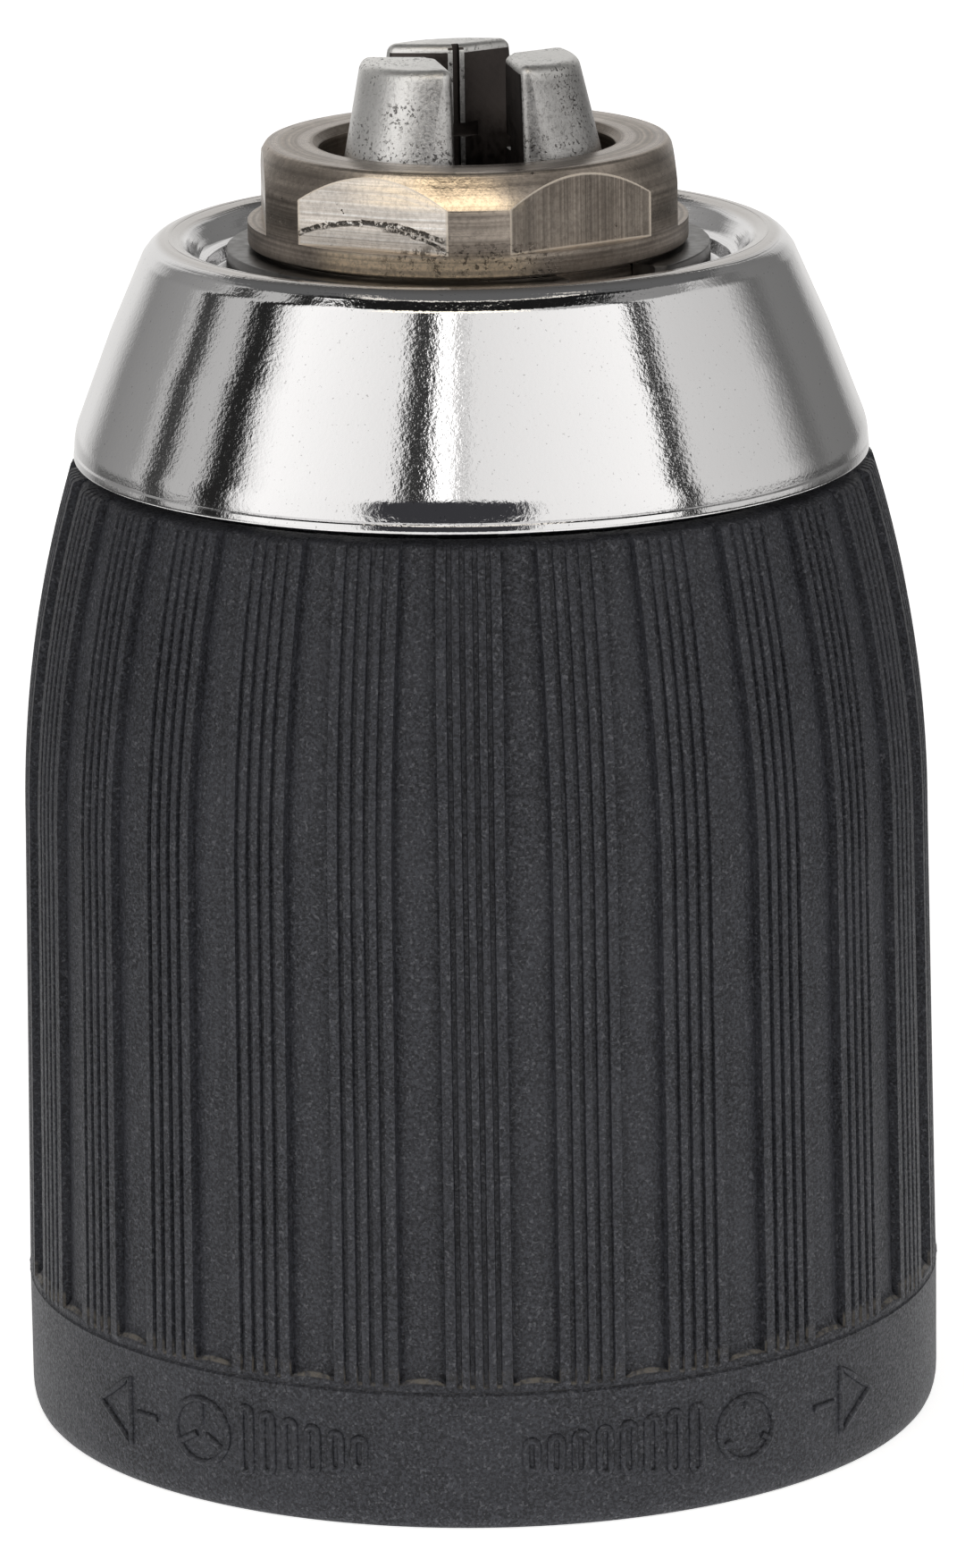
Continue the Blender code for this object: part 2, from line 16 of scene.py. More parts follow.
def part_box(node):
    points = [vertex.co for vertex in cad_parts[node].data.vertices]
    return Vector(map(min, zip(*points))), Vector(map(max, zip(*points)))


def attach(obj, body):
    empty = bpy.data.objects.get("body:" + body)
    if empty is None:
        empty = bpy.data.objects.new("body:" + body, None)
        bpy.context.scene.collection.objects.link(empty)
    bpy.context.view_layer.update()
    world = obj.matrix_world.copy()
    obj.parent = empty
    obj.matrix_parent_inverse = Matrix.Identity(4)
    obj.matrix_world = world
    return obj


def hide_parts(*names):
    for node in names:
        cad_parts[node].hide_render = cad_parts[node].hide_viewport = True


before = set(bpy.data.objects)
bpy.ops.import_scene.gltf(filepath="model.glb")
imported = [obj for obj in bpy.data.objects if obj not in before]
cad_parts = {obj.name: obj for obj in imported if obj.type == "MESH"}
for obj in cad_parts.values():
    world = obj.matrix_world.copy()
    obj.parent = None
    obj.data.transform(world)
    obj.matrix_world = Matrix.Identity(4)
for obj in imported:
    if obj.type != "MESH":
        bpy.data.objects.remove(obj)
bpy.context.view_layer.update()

MM = 0.001
SHARP = radians(24)


def span(node):
    """Lowest height, highest height and largest radius of a CAD node, in millimetres."""
    low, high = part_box(node)
    return low[2] / MM, high[2] / MM, max(high[0], -low[0]) / MM


_, NOSE_Z, FLANGE_RADIUS = span("chuck_body")
JAW_TAIL_Z, JAW_TIP_Z, _ = span("jaw_1")
SNAP_LOW, SNAP_HIGH, SNAP_RADIUS = span("snap_ring")
_, SLEEVE_TOP, SLEEVE_REACH = span("grip_sleeve")
RING_FOOT, RING_TOP, _ = span("nose_ring")
COVER_LOW, COVER_HIGH, COVER_RADIUS = span("rear_cover")

# Nose collar: bore, outside, chamfer and six spanner flats.
BORE_RADIUS = 6.76
NOSE_RADIUS = 10.05
NOSE_FACE_RADIUS = 9.14
NECK_RADIUS = 9.3
COLLAR_FOOT_Z = 54.78
COLLAR_SPLIT_Z = 54.0
CHAMFER_Z = 57.85
CHAMFER_LEAN = 0.607
FLAT_APOTHEM = 9.31
FLAT_FOOT_Z = 55.82
FLAT_AZIMUTH = radians(-57.2)
FLAT_SHARP = radians(17)

# Jaws, as in the CAD: lines tilted to the chuck axis, three of them, in radians from +X.
JAW_TILT = radians(14)
JAW_RADIUS = 3.75
JAW_CLEARANCE = 0.07
JAW_LINE_AT_NOSE = 2.25
JAW_AZIMUTHS = [radians(-137.5 + 120 * number) for number in range(3)]
GRIP_HALF_GAP = 1.79
GRIP_LAND = 0.22
LAND_X = GRIP_HALF_GAP + GRIP_LAND
NOTCH_HALF = 1.2
NOTCH_DEPTH = 0.4
CORNER_ROUND = 0.5
TIP_ROUND = 0.4
TIP_SLOPE = radians(3.5)
TOOTH_PITCH = 2.5
AXIAL_PITCH = TOOTH_PITCH * cos(JAW_TILT)
TOOTH_DEPTH = 1.3
TOOTHED_TOP_Z = 57.0
NUT_FOOT_Z = 28.5
NUT_MIDDLE_Z = 33.25

# Sleeve: its side has a slight draft below the shoulder and is one arc above it.
SHOULDER_Z = 28.0
SHOULDER_RADIUS = 20.91
SHOULDER_ARC = 56.5
SLEEVE_DRAFT = 0.0161
SEAM_Z = 6.45
FLASH_Z = SEAM_Z + 0.07
BAND_RADIUS = 21.25
BAND_ROUND = 0.46
BAND_ROUND_Z = 1.2
BAND_DEGREE = BAND_RADIUS * radians(1)
FLUTE_COUNT = 26
FLUTE_PITCH = 360.0 / FLUTE_COUNT
FLUTE_AZIMUTH = radians(-97.6)
FLUTE_HALF = 2.84
FLUTE_EDGE_DEPTH = 0.46
FLUTE_CROWN_DEPTH = 0.33
FLUTE_FOOT_Z = SEAM_Z + 0.3
GROOVE_COUNT = 4
GROOVE_WIDTH = 0.62
GROOVE_DEPTH = 0.22
RIB_WIDTH = 1.0
WALL_HALF = 0.06
RIB_EASE = 0.022

# Marks on the band.
MARK_Z = 3.5
MARK_RADIUS = 0.15
MARK_SPREAD = 1.15
DIAL_RADIUS = 1.5
BAR_STEP = 3.0
BAR_HALF_WIDTH = 0.26
BAR_SHORT = 0.7
BAR_TALL = 1.55

# Nose ring and the socket's thread.
CREST_RADIUS = 14.05
SOCKET_RADIUS = 5.95
THREAD_FOOT_Z = 1.5
THREAD_PITCH = 1.27
THREAD_TURNS = 9.5
THREAD_HEIGHT = 0.42

# Camera.
CAMERA_ELEVATION = 14.14
CAMERA_DISTANCE = 394.8
CAMERA_ROLL = -0.85
CAMERA_AIM_Z = 30.0
CAMERA_LENS = 195.8
CAMERA_SHIFT = (0.0041, -0.0121)

# Brightness of the studio by azimuth: first what stands around the chuck, then what lies lower.
AROUND = [
    (-180, 0.84), (-152, 0.82), (-144, 0.56), (-138, 0.26), (-115, 0.34), (-110, 0.58),
    (-107, 0.05), (-101, 0.06), (-98, 0.52), (-87, 0.56), (-84, 0.02), (-75, 0.02), (-71, 0.95),
    (-64, 1.20), (-23.5, 0.95), (-20.5, 0.03), (-13.5, 0.05), (-11.5, 1.60), (-6, 1.50),
    (-3.5, 0.42), (-1, 0.90), (60, 1.15), (62.5, 0.02), (66.5, 0.04), (69.5, 0.74), (104, 0.64),
    (112, 0.30), (118, 0.15), (126, 0.21), (147, 0.19), (152, 0.48), (164, 0.80),
]
BELOW = [
    (-180, 0.90), (-168, 0.78), (-156, 0.64), (-144, 0.40), (-135, 0.12), (-78, 0.05), (-64, 1.00),
    (-44, 1.05), (-20, 0.95), (0, 0.90), (40, 0.95), (60, 0.22), (80, 0.05), (136, 0.10),
    (144, 0.32), (156, 0.64), (168, 0.74), (180, 0.90),
]
WALL_FOOT = (-0.17, -0.09)
WARMTH = (1.0, 0.99, 0.975)
CEILING = (0.13, 0.13, 0.13)
BACKDROP = (0.97, 0.97, 0.97)


# ---------------------------------------------------------------- meshes

def make_object(name, shape, sharp=SHARP):
    """Turn a bmesh, in millimetres, into a smooth-shaded object in metres."""
    bmesh.ops.scale(shape, vec=(MM, MM, MM), verts=shape.verts)
    mesh = bpy.data.meshes.new(name)
    shape.to_mesh(mesh)
    shape.free()
    mesh.shade_smooth()
    mesh.set_sharp_from_angle(angle=sharp)
    piece = bpy.data.objects.new(name, mesh)
    bpy.context.scene.collection.objects.link(piece)
    return piece


def rounded(corners, segments=6):
    """An outline from (radius, height, fillet) corners of a closed line, with arcs at corners."""
    points = []
    count = len(corners)
    for index, (radius, height, fillet) in enumerate(corners):
        here = Vector((radius, height))
        before = Vector(corners[index - 1][:2]) - here
        after = Vector(corners[(index + 1) % count][:2]) - here
        if fillet <= 0:
            points.append(here)
            continue
        opening = before.angle(after)
        reach = fillet / tan(opening / 2)
        reach = min(reach, before.length * 0.8, after.length * 0.8)
        start = here + before.normalized() * reach
        end = here + after.normalized() * reach
        for step in range(segments + 1):
            share = step / segments
            points.append((start * (1 - share) + here * share) * (1 - share)
                          + (here * (1 - share) + end * share) * share)
    return [tuple(point) for point in points]


def polar(radius, turn, height):
    return Vector((radius * cos(turn), radius * sin(turn), height))


def turned(outline, steps):
    """A closed outline of (radius, height) points revolved about Z, as a bmesh."""
    shape = bmesh.new()
    rings = []
    for step in range(steps):
        turn = 2 * pi * step / steps
        rings.append([shape.verts.new(polar(radius, turn, height)) for radius, height in outline])
    for step in range(steps):
        join_rows(shape, rings[step], rings[(step + 1) % steps])
    bmesh.ops.recalc_face_normals(shape, faces=shape.faces)
    return shape


def join_rows(shape, first, second):
    for index in range(len(first)):
        after = (index + 1) % len(first)
        shape.faces.new((first[index], first[after], second[after], second[index]))


def swept_tube(sections, closed=False):
    """Closed sections joined in order, capped at both ends unless the tube is closed."""
    shape = bmesh.new()
    rows = [[shape.verts.new(point) for point in section] for section in sections]
    for first, second in zip(rows, rows[1:]):
        join_rows(shape, first, second)
    if closed:
        join_rows(shape, rows[-1], rows[0])
    else:
        shape.faces.new(rows[0])
        shape.faces.new(list(reversed(rows[-1])))
    bmesh.ops.recalc_face_normals(shape, faces=shape.faces)
    return shape


def block(shape, low, high, turn=0.0):
    """Add a box to a bmesh, from one corner to the other, turned about Z."""
    made = bmesh.ops.create_cube(shape, size=1.0)
    low, high = Vector(low), Vector(high)
    size = Matrix.Diagonal((*(high - low), 1.0))
    place = Matrix.Rotation(turn, 4, 'Z') @ Matrix.Translation((low + high) / 2) @ size
    bmesh.ops.transform(shape, matrix=place, verts=made["verts"])


def carve(piece, cutter, operation='DIFFERENCE', sharp=SHARP):
    """Apply a Boolean to a piece and remove the cutter."""
    boolean = piece.modifiers.new("cut", 'BOOLEAN')
    boolean.operation = operation
    boolean.solver = 'EXACT'
    boolean.object = cutter
    depsgraph = bpy.context.evaluated_depsgraph_get()
    mesh = bpy.data.meshes.new_from_object(piece.evaluated_get(depsgraph))
    piece.modifiers.clear()
    piece.data = mesh
    bpy.data.objects.remove(cutter)
    mesh.shade_smooth()
    mesh.set_sharp_from_angle(angle=sharp)


def install(piece, body, slot, material, *nodes):
    """Give a finished piece its material and its place in the frame."""
    piece.data.materials.clear()
    piece.data.materials.append(material)
    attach(piece, body)
    if nodes:
        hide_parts(*nodes)


# ---------------------------------------------------------------- materials

class Nodes:
    """A node tree with the few helpers that materials and the studio need."""

    def __init__(self, tree, place):
        self.tree = tree
        self.place = place

    def put(self, node_input, value):
        """Link a node output to an input, or store a plain value there."""
        if isinstance(value, bpy.types.NodeSocket):
            self.tree.links.new(value, node_input)
        elif isinstance(value, tuple):
            node_input.default_value = (*value, 1.0)
        else:
            node_input.default_value = value

    def add(self, kind, **inputs):
        """A new node with values or links in the inputs named, underscores for spaces."""
        node = self.tree.nodes.new(kind)
        for name, value in inputs.items():
            self.put(node.inputs[name.replace("_", " ")], value)
        return node

    def noise(self, scale, detail=2.0, rough=0.5):
        return self.add("ShaderNodeTexNoise", Vector=self.place, Scale=scale, Detail=detail,
                        Roughness=rough).outputs["Fac"]

    def lines(self, along, scale, detail=3.0):
        """Noise that varies only with one number, as fine tool lines do."""
        node = self.tree.nodes.new("ShaderNodeTexNoise")
        node.noise_dimensions = '1D'
        node.inputs["Scale"].default_value = scale
        node.inputs["Detail"].default_value = detail
        self.put(node.inputs["W"], along)
        return node.outputs["Fac"]

    def compute(self, operation, first, second=0.0):
        node = self.tree.nodes.new("ShaderNodeMath")
        node.operation = operation
        self.put(node.inputs[0], first)
        self.put(node.inputs[1], second)
        return node.outputs["Value"]

    def total(self, first, second):
        return self.compute('ADD', first, second)

    def times(self, first, *others):
        for other in others:
            first = self.compute('MULTIPLY', first, other)
        return first

    def ramp(self, source, low, high, start=0.0, end=1.0):
        """A smooth step from start to end as the source goes from low to high."""
        node = self.add("ShaderNodeMapRange", Value=source, From_Min=low, From_Max=high,
                        To_Min=start, To_Max=end)
        node.interpolation_type = 'SMOOTHSTEP'
        return node.outputs["Result"]

    def fall(self, source, low, high):
        return self.ramp(source, low, high, 1.0, 0.0)

    def blend(self, factor, first, second):
        node = self.tree.nodes.new("ShaderNodeMix")
        node.data_type = 'RGBA'
        self.put(node.inputs[0], factor)
        self.put(node.inputs[6], first)
        self.put(node.inputs[7], second)
        return node.outputs[2]

    def layers(self, base, *layers):
        """Colours laid over a base, each by its own factor."""
        for factor, color in layers:
            base = self.blend(factor, base, color)
        return base

    def split(self):
        """The x, y and z of the place."""
        node = self.tree.nodes.new("ShaderNodeSeparateXYZ")
        self.put(node.inputs[0], self.place)
        return node.outputs[0], node.outputs[1], node.outputs[2]

    def radius(self):
        x, y, _ = self.split()
        return self.compute('SQRT', self.total(self.times(x, x), self.times(y, y)))


class Look(Nodes):
    """A Principled material whose place is the object's own, in millimetres."""

    def __init__(self, name, color, roughness, metallic=0.0):
        self.material = bpy.data.materials.new(name)
        self.material.use_nodes = True
        tree = self.material.node_tree
        enlarge = tree.nodes.new("ShaderNodeVectorMath")
        enlarge.operation = 'SCALE'
        enlarge.inputs["Scale"].default_value = 1 / MM
        tree.links.new(tree.nodes.new("ShaderNodeTexCoord").outputs["Object"], enlarge.inputs[0])
        super().__init__(tree, enlarge.outputs[0])
        self.shader = tree.nodes["Principled BSDF"]
        self.set("Base Color", (*color, 1.0))
        self.set("Roughness", roughness)
        self.set("Metallic", metallic)

    def set(self, socket, value):
        self.shader.inputs[socket].default_value = value

    def feed(self, socket, source):
        self.tree.links.new(source, self.shader.inputs[socket])

    def bump(self, height, depth, strength=1.0, before=None):
        """The normal over a relief whose depth is in millimetres."""
        node = self.add("ShaderNodeBump", Distance=depth * MM, Strength=strength, Height=height)
        if before is not None:
            self.put(node.inputs["Normal"], before)
        return node.outputs["Normal"]


def charcoal_plastic():
    """Spark-eroded charcoal plastic: fine grain with pale specks."""
    look = Look("charcoal_plastic", (0.03, 0.03, 0.034), 0.5)
    grain = look.noise(7.2, rough=0.7)
    coarse = look.noise(3.0)
    clouds = look.noise(0.22, detail=3.0)
    specks = look.ramp(look.noise(6.2, detail=1.0), 0.60, 0.72)
    look.feed("Base Color", look.layers(
        (0.013, 0.0135, 0.016),
        (look.ramp(grain, 0.38, 0.62), (0.050, 0.052, 0.062)),
        (look.ramp(coarse, 0.35, 0.7, 0.0, 0.35), (0.022, 0.023, 0.028)),
        (look.ramp(clouds, 0.35, 0.7, 0.0, 0.25), (0.056, 0.058, 0.068)),
        # Painted highlight at the feet of the flutes and grooves.
        (painted_flute_foot_highlight(look), (0.20, 0.18, 0.15)),
        (look.times(specks, 0.55), (0.13, 0.132, 0.145))))
    look.feed("Roughness", look.ramp(grain, 0.3, 0.7, 0.60, 0.42))
    look.feed("Normal", look.bump(grain, 0.06, 0.8, look.bump(coarse, 0.05, 0.4)))
    look.set("Specular IOR Level", 0.27)
    return look.material


def painted_flute_foot_highlight(look):
    """A painted highlight on the slopes at the feet of flutes and grooves."""
    _, _, z = look.split()
    radius = look.radius()
    slope = look.times(look.ramp(radius, BAND_RADIUS - 0.20, BAND_RADIUS - 0.15),
                         look.fall(radius, BAND_RADIUS - 0.06, BAND_RADIUS - 0.02))
    low = look.times(look.ramp(z, SEAM_Z - 0.05, SEAM_Z + 0.15),
                       look.fall(z, SEAM_Z + 0.85, SEAM_Z + 1.15))
    return look.times(slope, low, look.ramp(look.noise(2.6), 0.38, 0.6, 0.15, 0.6))


def chrome():
    """Bright chrome plate: orange peel, a few pinholes, and a darker warm band on the spun crest."""
    look = Look("chrome", (0.80, 0.795, 0.80), 0.07, 1.0)
    radius = look.radius()
    # A darker warm band over the crest's top.
    film = look.times(look.ramp(radius, CREST_RADIUS - 1.15, CREST_RADIUS - 0.85),
                        look.fall(radius, CREST_RADIUS - 0.05, CREST_RADIUS + 0.35))
    pinholes = look.ramp(look.noise(7.2, detail=1.0), 0.70, 0.78)
    look.feed("Base Color", look.layers(
        (0.80, 0.795, 0.80),
        (look.times(film, 0.7), (0.44, 0.41, 0.38)),
        (look.times(pinholes, 0.5), (0.22, 0.21, 0.21))))
    look.feed("Roughness", look.ramp(look.noise(2.5), 0.4, 0.7, 0.03, 0.07))
    wander = look.total(radius, look.times(look.noise(0.14), 0.6))
    on_crest = look.fall(radius, CREST_RADIUS + 0.25, CREST_RADIUS + 0.65)
    relief = look.bump(look.noise(0.7, detail=1.0), 0.02, 0.35)
    relief = look.bump(look.times(look.lines(wander, 5.2), on_crest), 0.03, 0.8, relief)
    look.feed("Normal", look.bump(look.noise(5.0, rough=0.65), 0.009, 0.8, relief))
    return look.material


def tool_lines(look, cut):
    """What tool lines follow, turned about the axis or milled up or across a flat, and how finely."""
    x, y, z = look.split()
    if cut == "up":
        return look.compute('ARCTAN2', y, x), 75.0
    if cut == "across":
        return look.total(z, look.times(look.noise(0.09), 0.6)), 8.0
    return look.total(look.radius(), z), 6.2


def cut_steel(name, cut, dark, pale):
    """Steel with a bronze-grey film, tool lines, stains and small dents, with a painted warm sheen at
    the front, painted highlights along the flats' rims and painted shade on the lip.
    """
    look = Look(name, (0.3, 0.26, 0.22), 0.34, 1.0)
    along, scale = tool_lines(look, cut)
    fine = look.lines(along, scale, 4.0)
    broad = look.lines(along, scale * 0.16, 2.0)
    stain = look.noise(0.26, detail=4.0, rough=0.6)
    grit = look.noise(4.6, detail=3.0, rough=0.75)
    rubbed_and_sheen = painted_front_sheen(look)
    # Marks: the dents and scuffs, with the painted shade on the lip.
    marks = look.compute('MAXIMUM', dents(look), scuffs_and_lip_shade(look))
    rim = look.times(flat_rim(look), 0.0 if cut == "turned" else 0.75)
    lit = tuple(min(1.0, channel * 1.4) for channel in pale)
    shade = tuple(0.5 * channel for channel in dark)

    look.feed("Base Color", look.layers(
        dark,
        (look.ramp(stain, 0.3, 0.7), pale),
        (look.times(look.ramp(fine, 0.42, 0.75), look.noise(0.7), 1.1), lit),
        # Painted warm sheen on the front of the chamfer and lip.
        (look.times(rubbed_and_sheen, 0.9), (1.0, 0.83, 0.62)),
        (look.ramp(grit, 0.40, 0.66, 0.0, 0.35), shade),
        (look.ramp(fine, 0.46, 0.30, 0.0, 0.32), shade),
        # Painted highlight along the flats' rims.
        (rim, (0.98, 0.88, 0.76)),
        (look.times(marks, 0.85), (0.03, 0.026, 0.022))))
    rough = look.total(look.ramp(broad, 0.3, 0.7, 0.26, 0.42), look.times(marks, 0.3))
    rough = look.total(rough, look.times(rim, 0.3))
    look.feed("Roughness", look.total(rough, look.times(rubbed_and_sheen, polish(look))))
    relief = look.bump(look.total(fine, look.times(broad, 0.6)), 0.012, 0.5)
    relief = look.bump(grit, 0.012, 0.5, relief)
    look.feed("Normal", look.bump(look.times(marks, -1.0), 0.05, 0.8, relief))
    look.set("Anisotropic", 0.35)
    return look.material


def painted_front_sheen(look):
    """A painted warm sheen, in streaks, on the chamfer and lip at the front."""
    x, y, z = look.split()
    front = look.fall(look.total(y, look.times(x, 0.22)), 0.45 - NOSE_RADIUS, 1.45 - NOSE_RADIUS)
    rims = look.compute('MAXIMUM', look.ramp(z, CHAMFER_Z - 0.25, CHAMFER_Z + 0.25),
                        look.fall(z, FLAT_FOOT_Z - 0.22, FLAT_FOOT_Z + 0.18))
    streaks = look.ramp(look.lines(look.total(look.radius(), z), 4.2, 4.0), 0.3, 0.6, 0.5, 1.0)
    return look.times(streaks, front, rims)


def polish(look):
    """What the painted front sheen's mask adds to the roughness: less on the chamfer, more on the lip.
    """
    _, _, z = look.split()
    return look.ramp(z, FLAT_FOOT_Z + 0.18, CHAMFER_Z - 0.25, 0.25, -0.14)


def dents(look):
    """Small dents that come in patches."""
    patches = look.ramp(look.noise(0.33, detail=1.0), 0.48, 0.62)
    return look.times(look.ramp(look.noise(2.6, detail=3.0, rough=0.7), 0.66, 0.73), patches)


def flat_rim(look):
    """A thin line along a flat's foot, sides and curved top, where its edges catch light."""
    _, _, z = look.split()
    above = look.compute('MAXIMUM', look.compute('SUBTRACT', z, CHAMFER_Z), 0.0)
    reach = look.total(look.radius(), look.times(above, CHAMFER_LEAN))
    foot = look.fall(z, FLAT_FOOT_Z + 0.06, FLAT_FOOT_Z + 0.11)
    return look.compute('MAXIMUM', foot, look.ramp(reach, NOSE_RADIUS - 0.06, NOSE_RADIUS - 0.02))


def streak(look, x, z, bend, peak_x, peak_z, thick):
    """A thin line across x that falls away from its peak, by its bend times the square of x."""
    off_peak = look.compute('POWER', look.compute('SUBTRACT', x, peak_x), 2.0)
    bow = look.total(look.times(off_peak, -bend), peak_z)
    off = look.compute('ABSOLUTE', look.compute('SUBTRACT', z, bow))
    return look.fall(off, thick * 0.4, thick)


def scuffs_and_lip_shade(look):
    """Two ragged dark streaks scuffed across the left front flat, and painted shade in a ragged patch
    on the front of the lip.
    """
    x, y, z = look.split()
    wander = look.total(z, look.times(look.noise(1.1, detail=3.0), 0.3))
    upper = streak(look, x, wander, 0.062, -4.2, 57.18, 0.16)
    lower = look.times(streak(look, x, wander, 0.085, -4.0, 56.95, 0.12), look.ramp(x, -4.0, -3.2))
    on_flat = look.times(look.ramp(x, -7.7, -7.5), look.fall(x, -1.2, -0.9), look.fall(y, -4.0, -3.6))
    ragged = look.ramp(look.noise(4.2, detail=4.0, rough=0.8), 0.45, 0.54)
    rubbed_and_sheen = look.times(look.compute('MAXIMUM', upper, lower), on_flat, ragged)
    # Painted shade: a dark ragged patch in the middle of the lip's front.
    lip_shade = streak(look, x, z, 0.030, 0.4, 55.6, 0.9)
    in_middle = look.ramp(look.compute('ABSOLUTE', x), 3.0, 4.5, 0.75, 0.0)
    torn = look.ramp(look.noise(2.4, detail=4.0, rough=0.8), 0.53, 0.59)
    lip_shade = look.times(lip_shade, in_middle, look.fall(y, -9.0, -8.6), torn)
    return look.compute('MAXIMUM', rubbed_and_sheen, lip_shade)


def blasted_steel():
    """Grey blasted jaw steel, peppered with small pits, with painted light on the jaws at the left,
    painted shade towards the middle and right, and a painted highlight on the tips.
    """
    look = Look("jaw_steel", (0.4, 0.39, 0.38), 0.45, 1.0)
    x, _, z = look.split()
    grain = look.noise(6.0, detail=4.0, rough=0.7)
    cloud = look.noise(0.42, detail=3.0)
    pits = look.ramp(look.noise(5.9, rough=0.65), 0.58, 0.66)
    patches = look.ramp(look.noise(0.33, detail=1.0), 0.45, 0.62, 0.15, 1.0)
    near_nose = look.ramp(z, NOSE_Z + 1.2, NOSE_Z + 0.1, 0.0, 0.8)
    marks = look.times(pits, look.compute('MAXIMUM', patches, near_nose))
    look.feed("Base Color", look.layers(
        (0.52, 0.51, 0.50),
        (look.ramp(cloud, 0.3, 0.7), (0.80, 0.79, 0.78)),
        (look.ramp(grain, 0.4, 0.65, 0.0, 0.5), (0.80, 0.79, 0.78)),
        (look.ramp(grain, 0.48, 0.34, 0.0, 0.5), (0.20, 0.19, 0.185)),
        # Painted light at the left, painted shade towards the middle and right, painted highlight at
        # the tips.
        (look.ramp(x, -3.0, -1.4, 0.55, 0.0), (0.97, 0.96, 0.94)),
        (look.ramp(x, -2.0, -0.6, 0.0, 0.34), (0.12, 0.115, 0.11)),
        (look.ramp(z, JAW_TIP_Z - 1.0, JAW_TIP_Z - 0.2, 0.0, 0.6), (0.97, 0.96, 0.93)),
        (look.times(marks, 0.9), (0.035, 0.03, 0.03))))
    look.feed("Roughness", look.ramp(grain, 0.3, 0.7, 0.28, 0.42))
    skin = look.bump(grain, 0.022, 0.9)
    look.feed("Normal", look.bump(look.times(marks, -1.0), 0.06, 0.8, skin))
    return look.material


def plain_metal(name, color, roughness, scale=1.5):
    """Ground, plated or hardened steel of an inner piece: a fine grain over its colour."""
    look = Look(name, color, roughness, 1.0)
    grain = look.noise(scale, detail=4.0, rough=0.6)
    darker = tuple(channel * 0.72 for channel in color)
    lighter = tuple(min(1.0, channel * 1.15) for channel in color)
    look.feed("Base Color", look.blend(look.ramp(grain, 0.3, 0.7), darker, lighter))
    look.feed("Roughness", look.ramp(grain, 0.3, 0.7, roughness * 0.8, roughness * 1.25))
    _, _, z = look.split()
    look.feed("Normal", look.bump(look.lines(look.total(look.radius(), z), 4.0, 2.0), 0.01, 0.3))
    return look.material


def black_plate():
    """Moulded black plastic of the rear cover."""
    look = Look("black_plate", (0.03, 0.03, 0.032), 0.42)
    grain = look.noise(5.0)
    shade = look.blend(look.ramp(grain, 0.4, 0.7), (0.022, 0.022, 0.024), (0.045, 0.045, 0.048))
    look.feed("Base Color", shade)
    look.feed("Roughness", look.ramp(look.noise(0.3), 0.3, 0.7, 0.34, 0.5))
    look.feed("Normal", look.bump(grain, 0.03, 0.4))
    return look.material


# ---------------------------------------------------------------- grip sleeve

def sleeve_radius(height):
    """Outer radius over the ribs at a height: a slight draft, then one arc to the top edge."""
    if height <= SHOULDER_Z:
        return SHOULDER_RADIUS + (SHOULDER_Z - height) * SLEEVE_DRAFT
    rise = height - SHOULDER_Z
    return SHOULDER_RADIUS - SHOULDER_ARC + sqrt(SHOULDER_ARC ** 2 - rise ** 2)


def pitch_columns():
    """Angles, in degrees from a flute's middle, and what lies there, over one flute and its ribs."""
    columns = []
    for share in (-1.0, -0.7, -0.35, 0.0, 0.35, 0.7, 1.0):
        columns.append((share * (FLUTE_HALF - WALL_HALF), "flute"))
    columns.append((FLUTE_HALF + WALL_HALF, "top"))
    group = FLUTE_PITCH - 2 * FLUTE_HALF
    inner = (GROOVE_COUNT - 1) * RIB_WIDTH + GROOVE_COUNT * GROOVE_WIDTH
    start = FLUTE_HALF + (group - inner) / 2
    for number in range(GROOVE_COUNT):
        low = start + number * (RIB_WIDTH + GROOVE_WIDTH)
        high = low + GROOVE_WIDTH
        columns += [(low - WALL_HALF, "top"), (low + WALL_HALF, "groove"),
                    (high - WALL_HALF, "groove"), (high + WALL_HALF, "top")]
        if number < GROOVE_COUNT - 1:
            columns.append((high + RIB_WIDTH / 2, "crown"))
    columns.append((FLUTE_PITCH - FLUTE_HALF - WALL_HALF, "top"))
    return columns


def step_up(value, low, high):
    share = min(1.0, max(0.0, (value - low) / (high - low)))
    return share * share * (3 - 2 * share)


def column_depth(angle, kind, height):
    """How far a column lies under the line over the ribs, at a height."""
    if height < SEAM_Z:
        return 0.0
    if kind == "flute":
        across = min(1.0, abs(angle) / FLUTE_HALF)
        full = FLUTE_CROWN_DEPTH + (FLUTE_EDGE_DEPTH - FLUTE_CROWN_DEPTH) * across ** 2
        slope = 0.12 + 0.55 * sqrt(max(0.0, 1 - across ** 2))
        return full * step_up(height, FLUTE_FOOT_Z, FLUTE_FOOT_Z + slope)
    if kind == "groove":
        fade = 1.0 - 0.35 * step_up(height, SLEEVE_TOP - 6, SLEEVE_TOP)
        return GROOVE_DEPTH * fade * step_up(height, SEAM_Z + 0.18, SEAM_Z + 0.4)
    if kind == "top":
        return RIB_EASE
    return 0.0


def narrowed(angle, height):
    """A flute narrows a little towards the top, and the ribs beside it spread to match."""
    keep = 1.0 - 0.13 * step_up(height, 30, SLEEVE_TOP)
    if angle <= FLUTE_HALF:
        return angle * keep
    if angle >= FLUTE_PITCH - FLUTE_HALF:
        return FLUTE_PITCH - (FLUTE_PITCH - angle) * keep
    share = (angle - FLUTE_HALF) / (FLUTE_PITCH - 2 * FLUTE_HALF)
    return FLUTE_HALF * keep + share * (FLUTE_PITCH - 2 * FLUTE_HALF * keep)


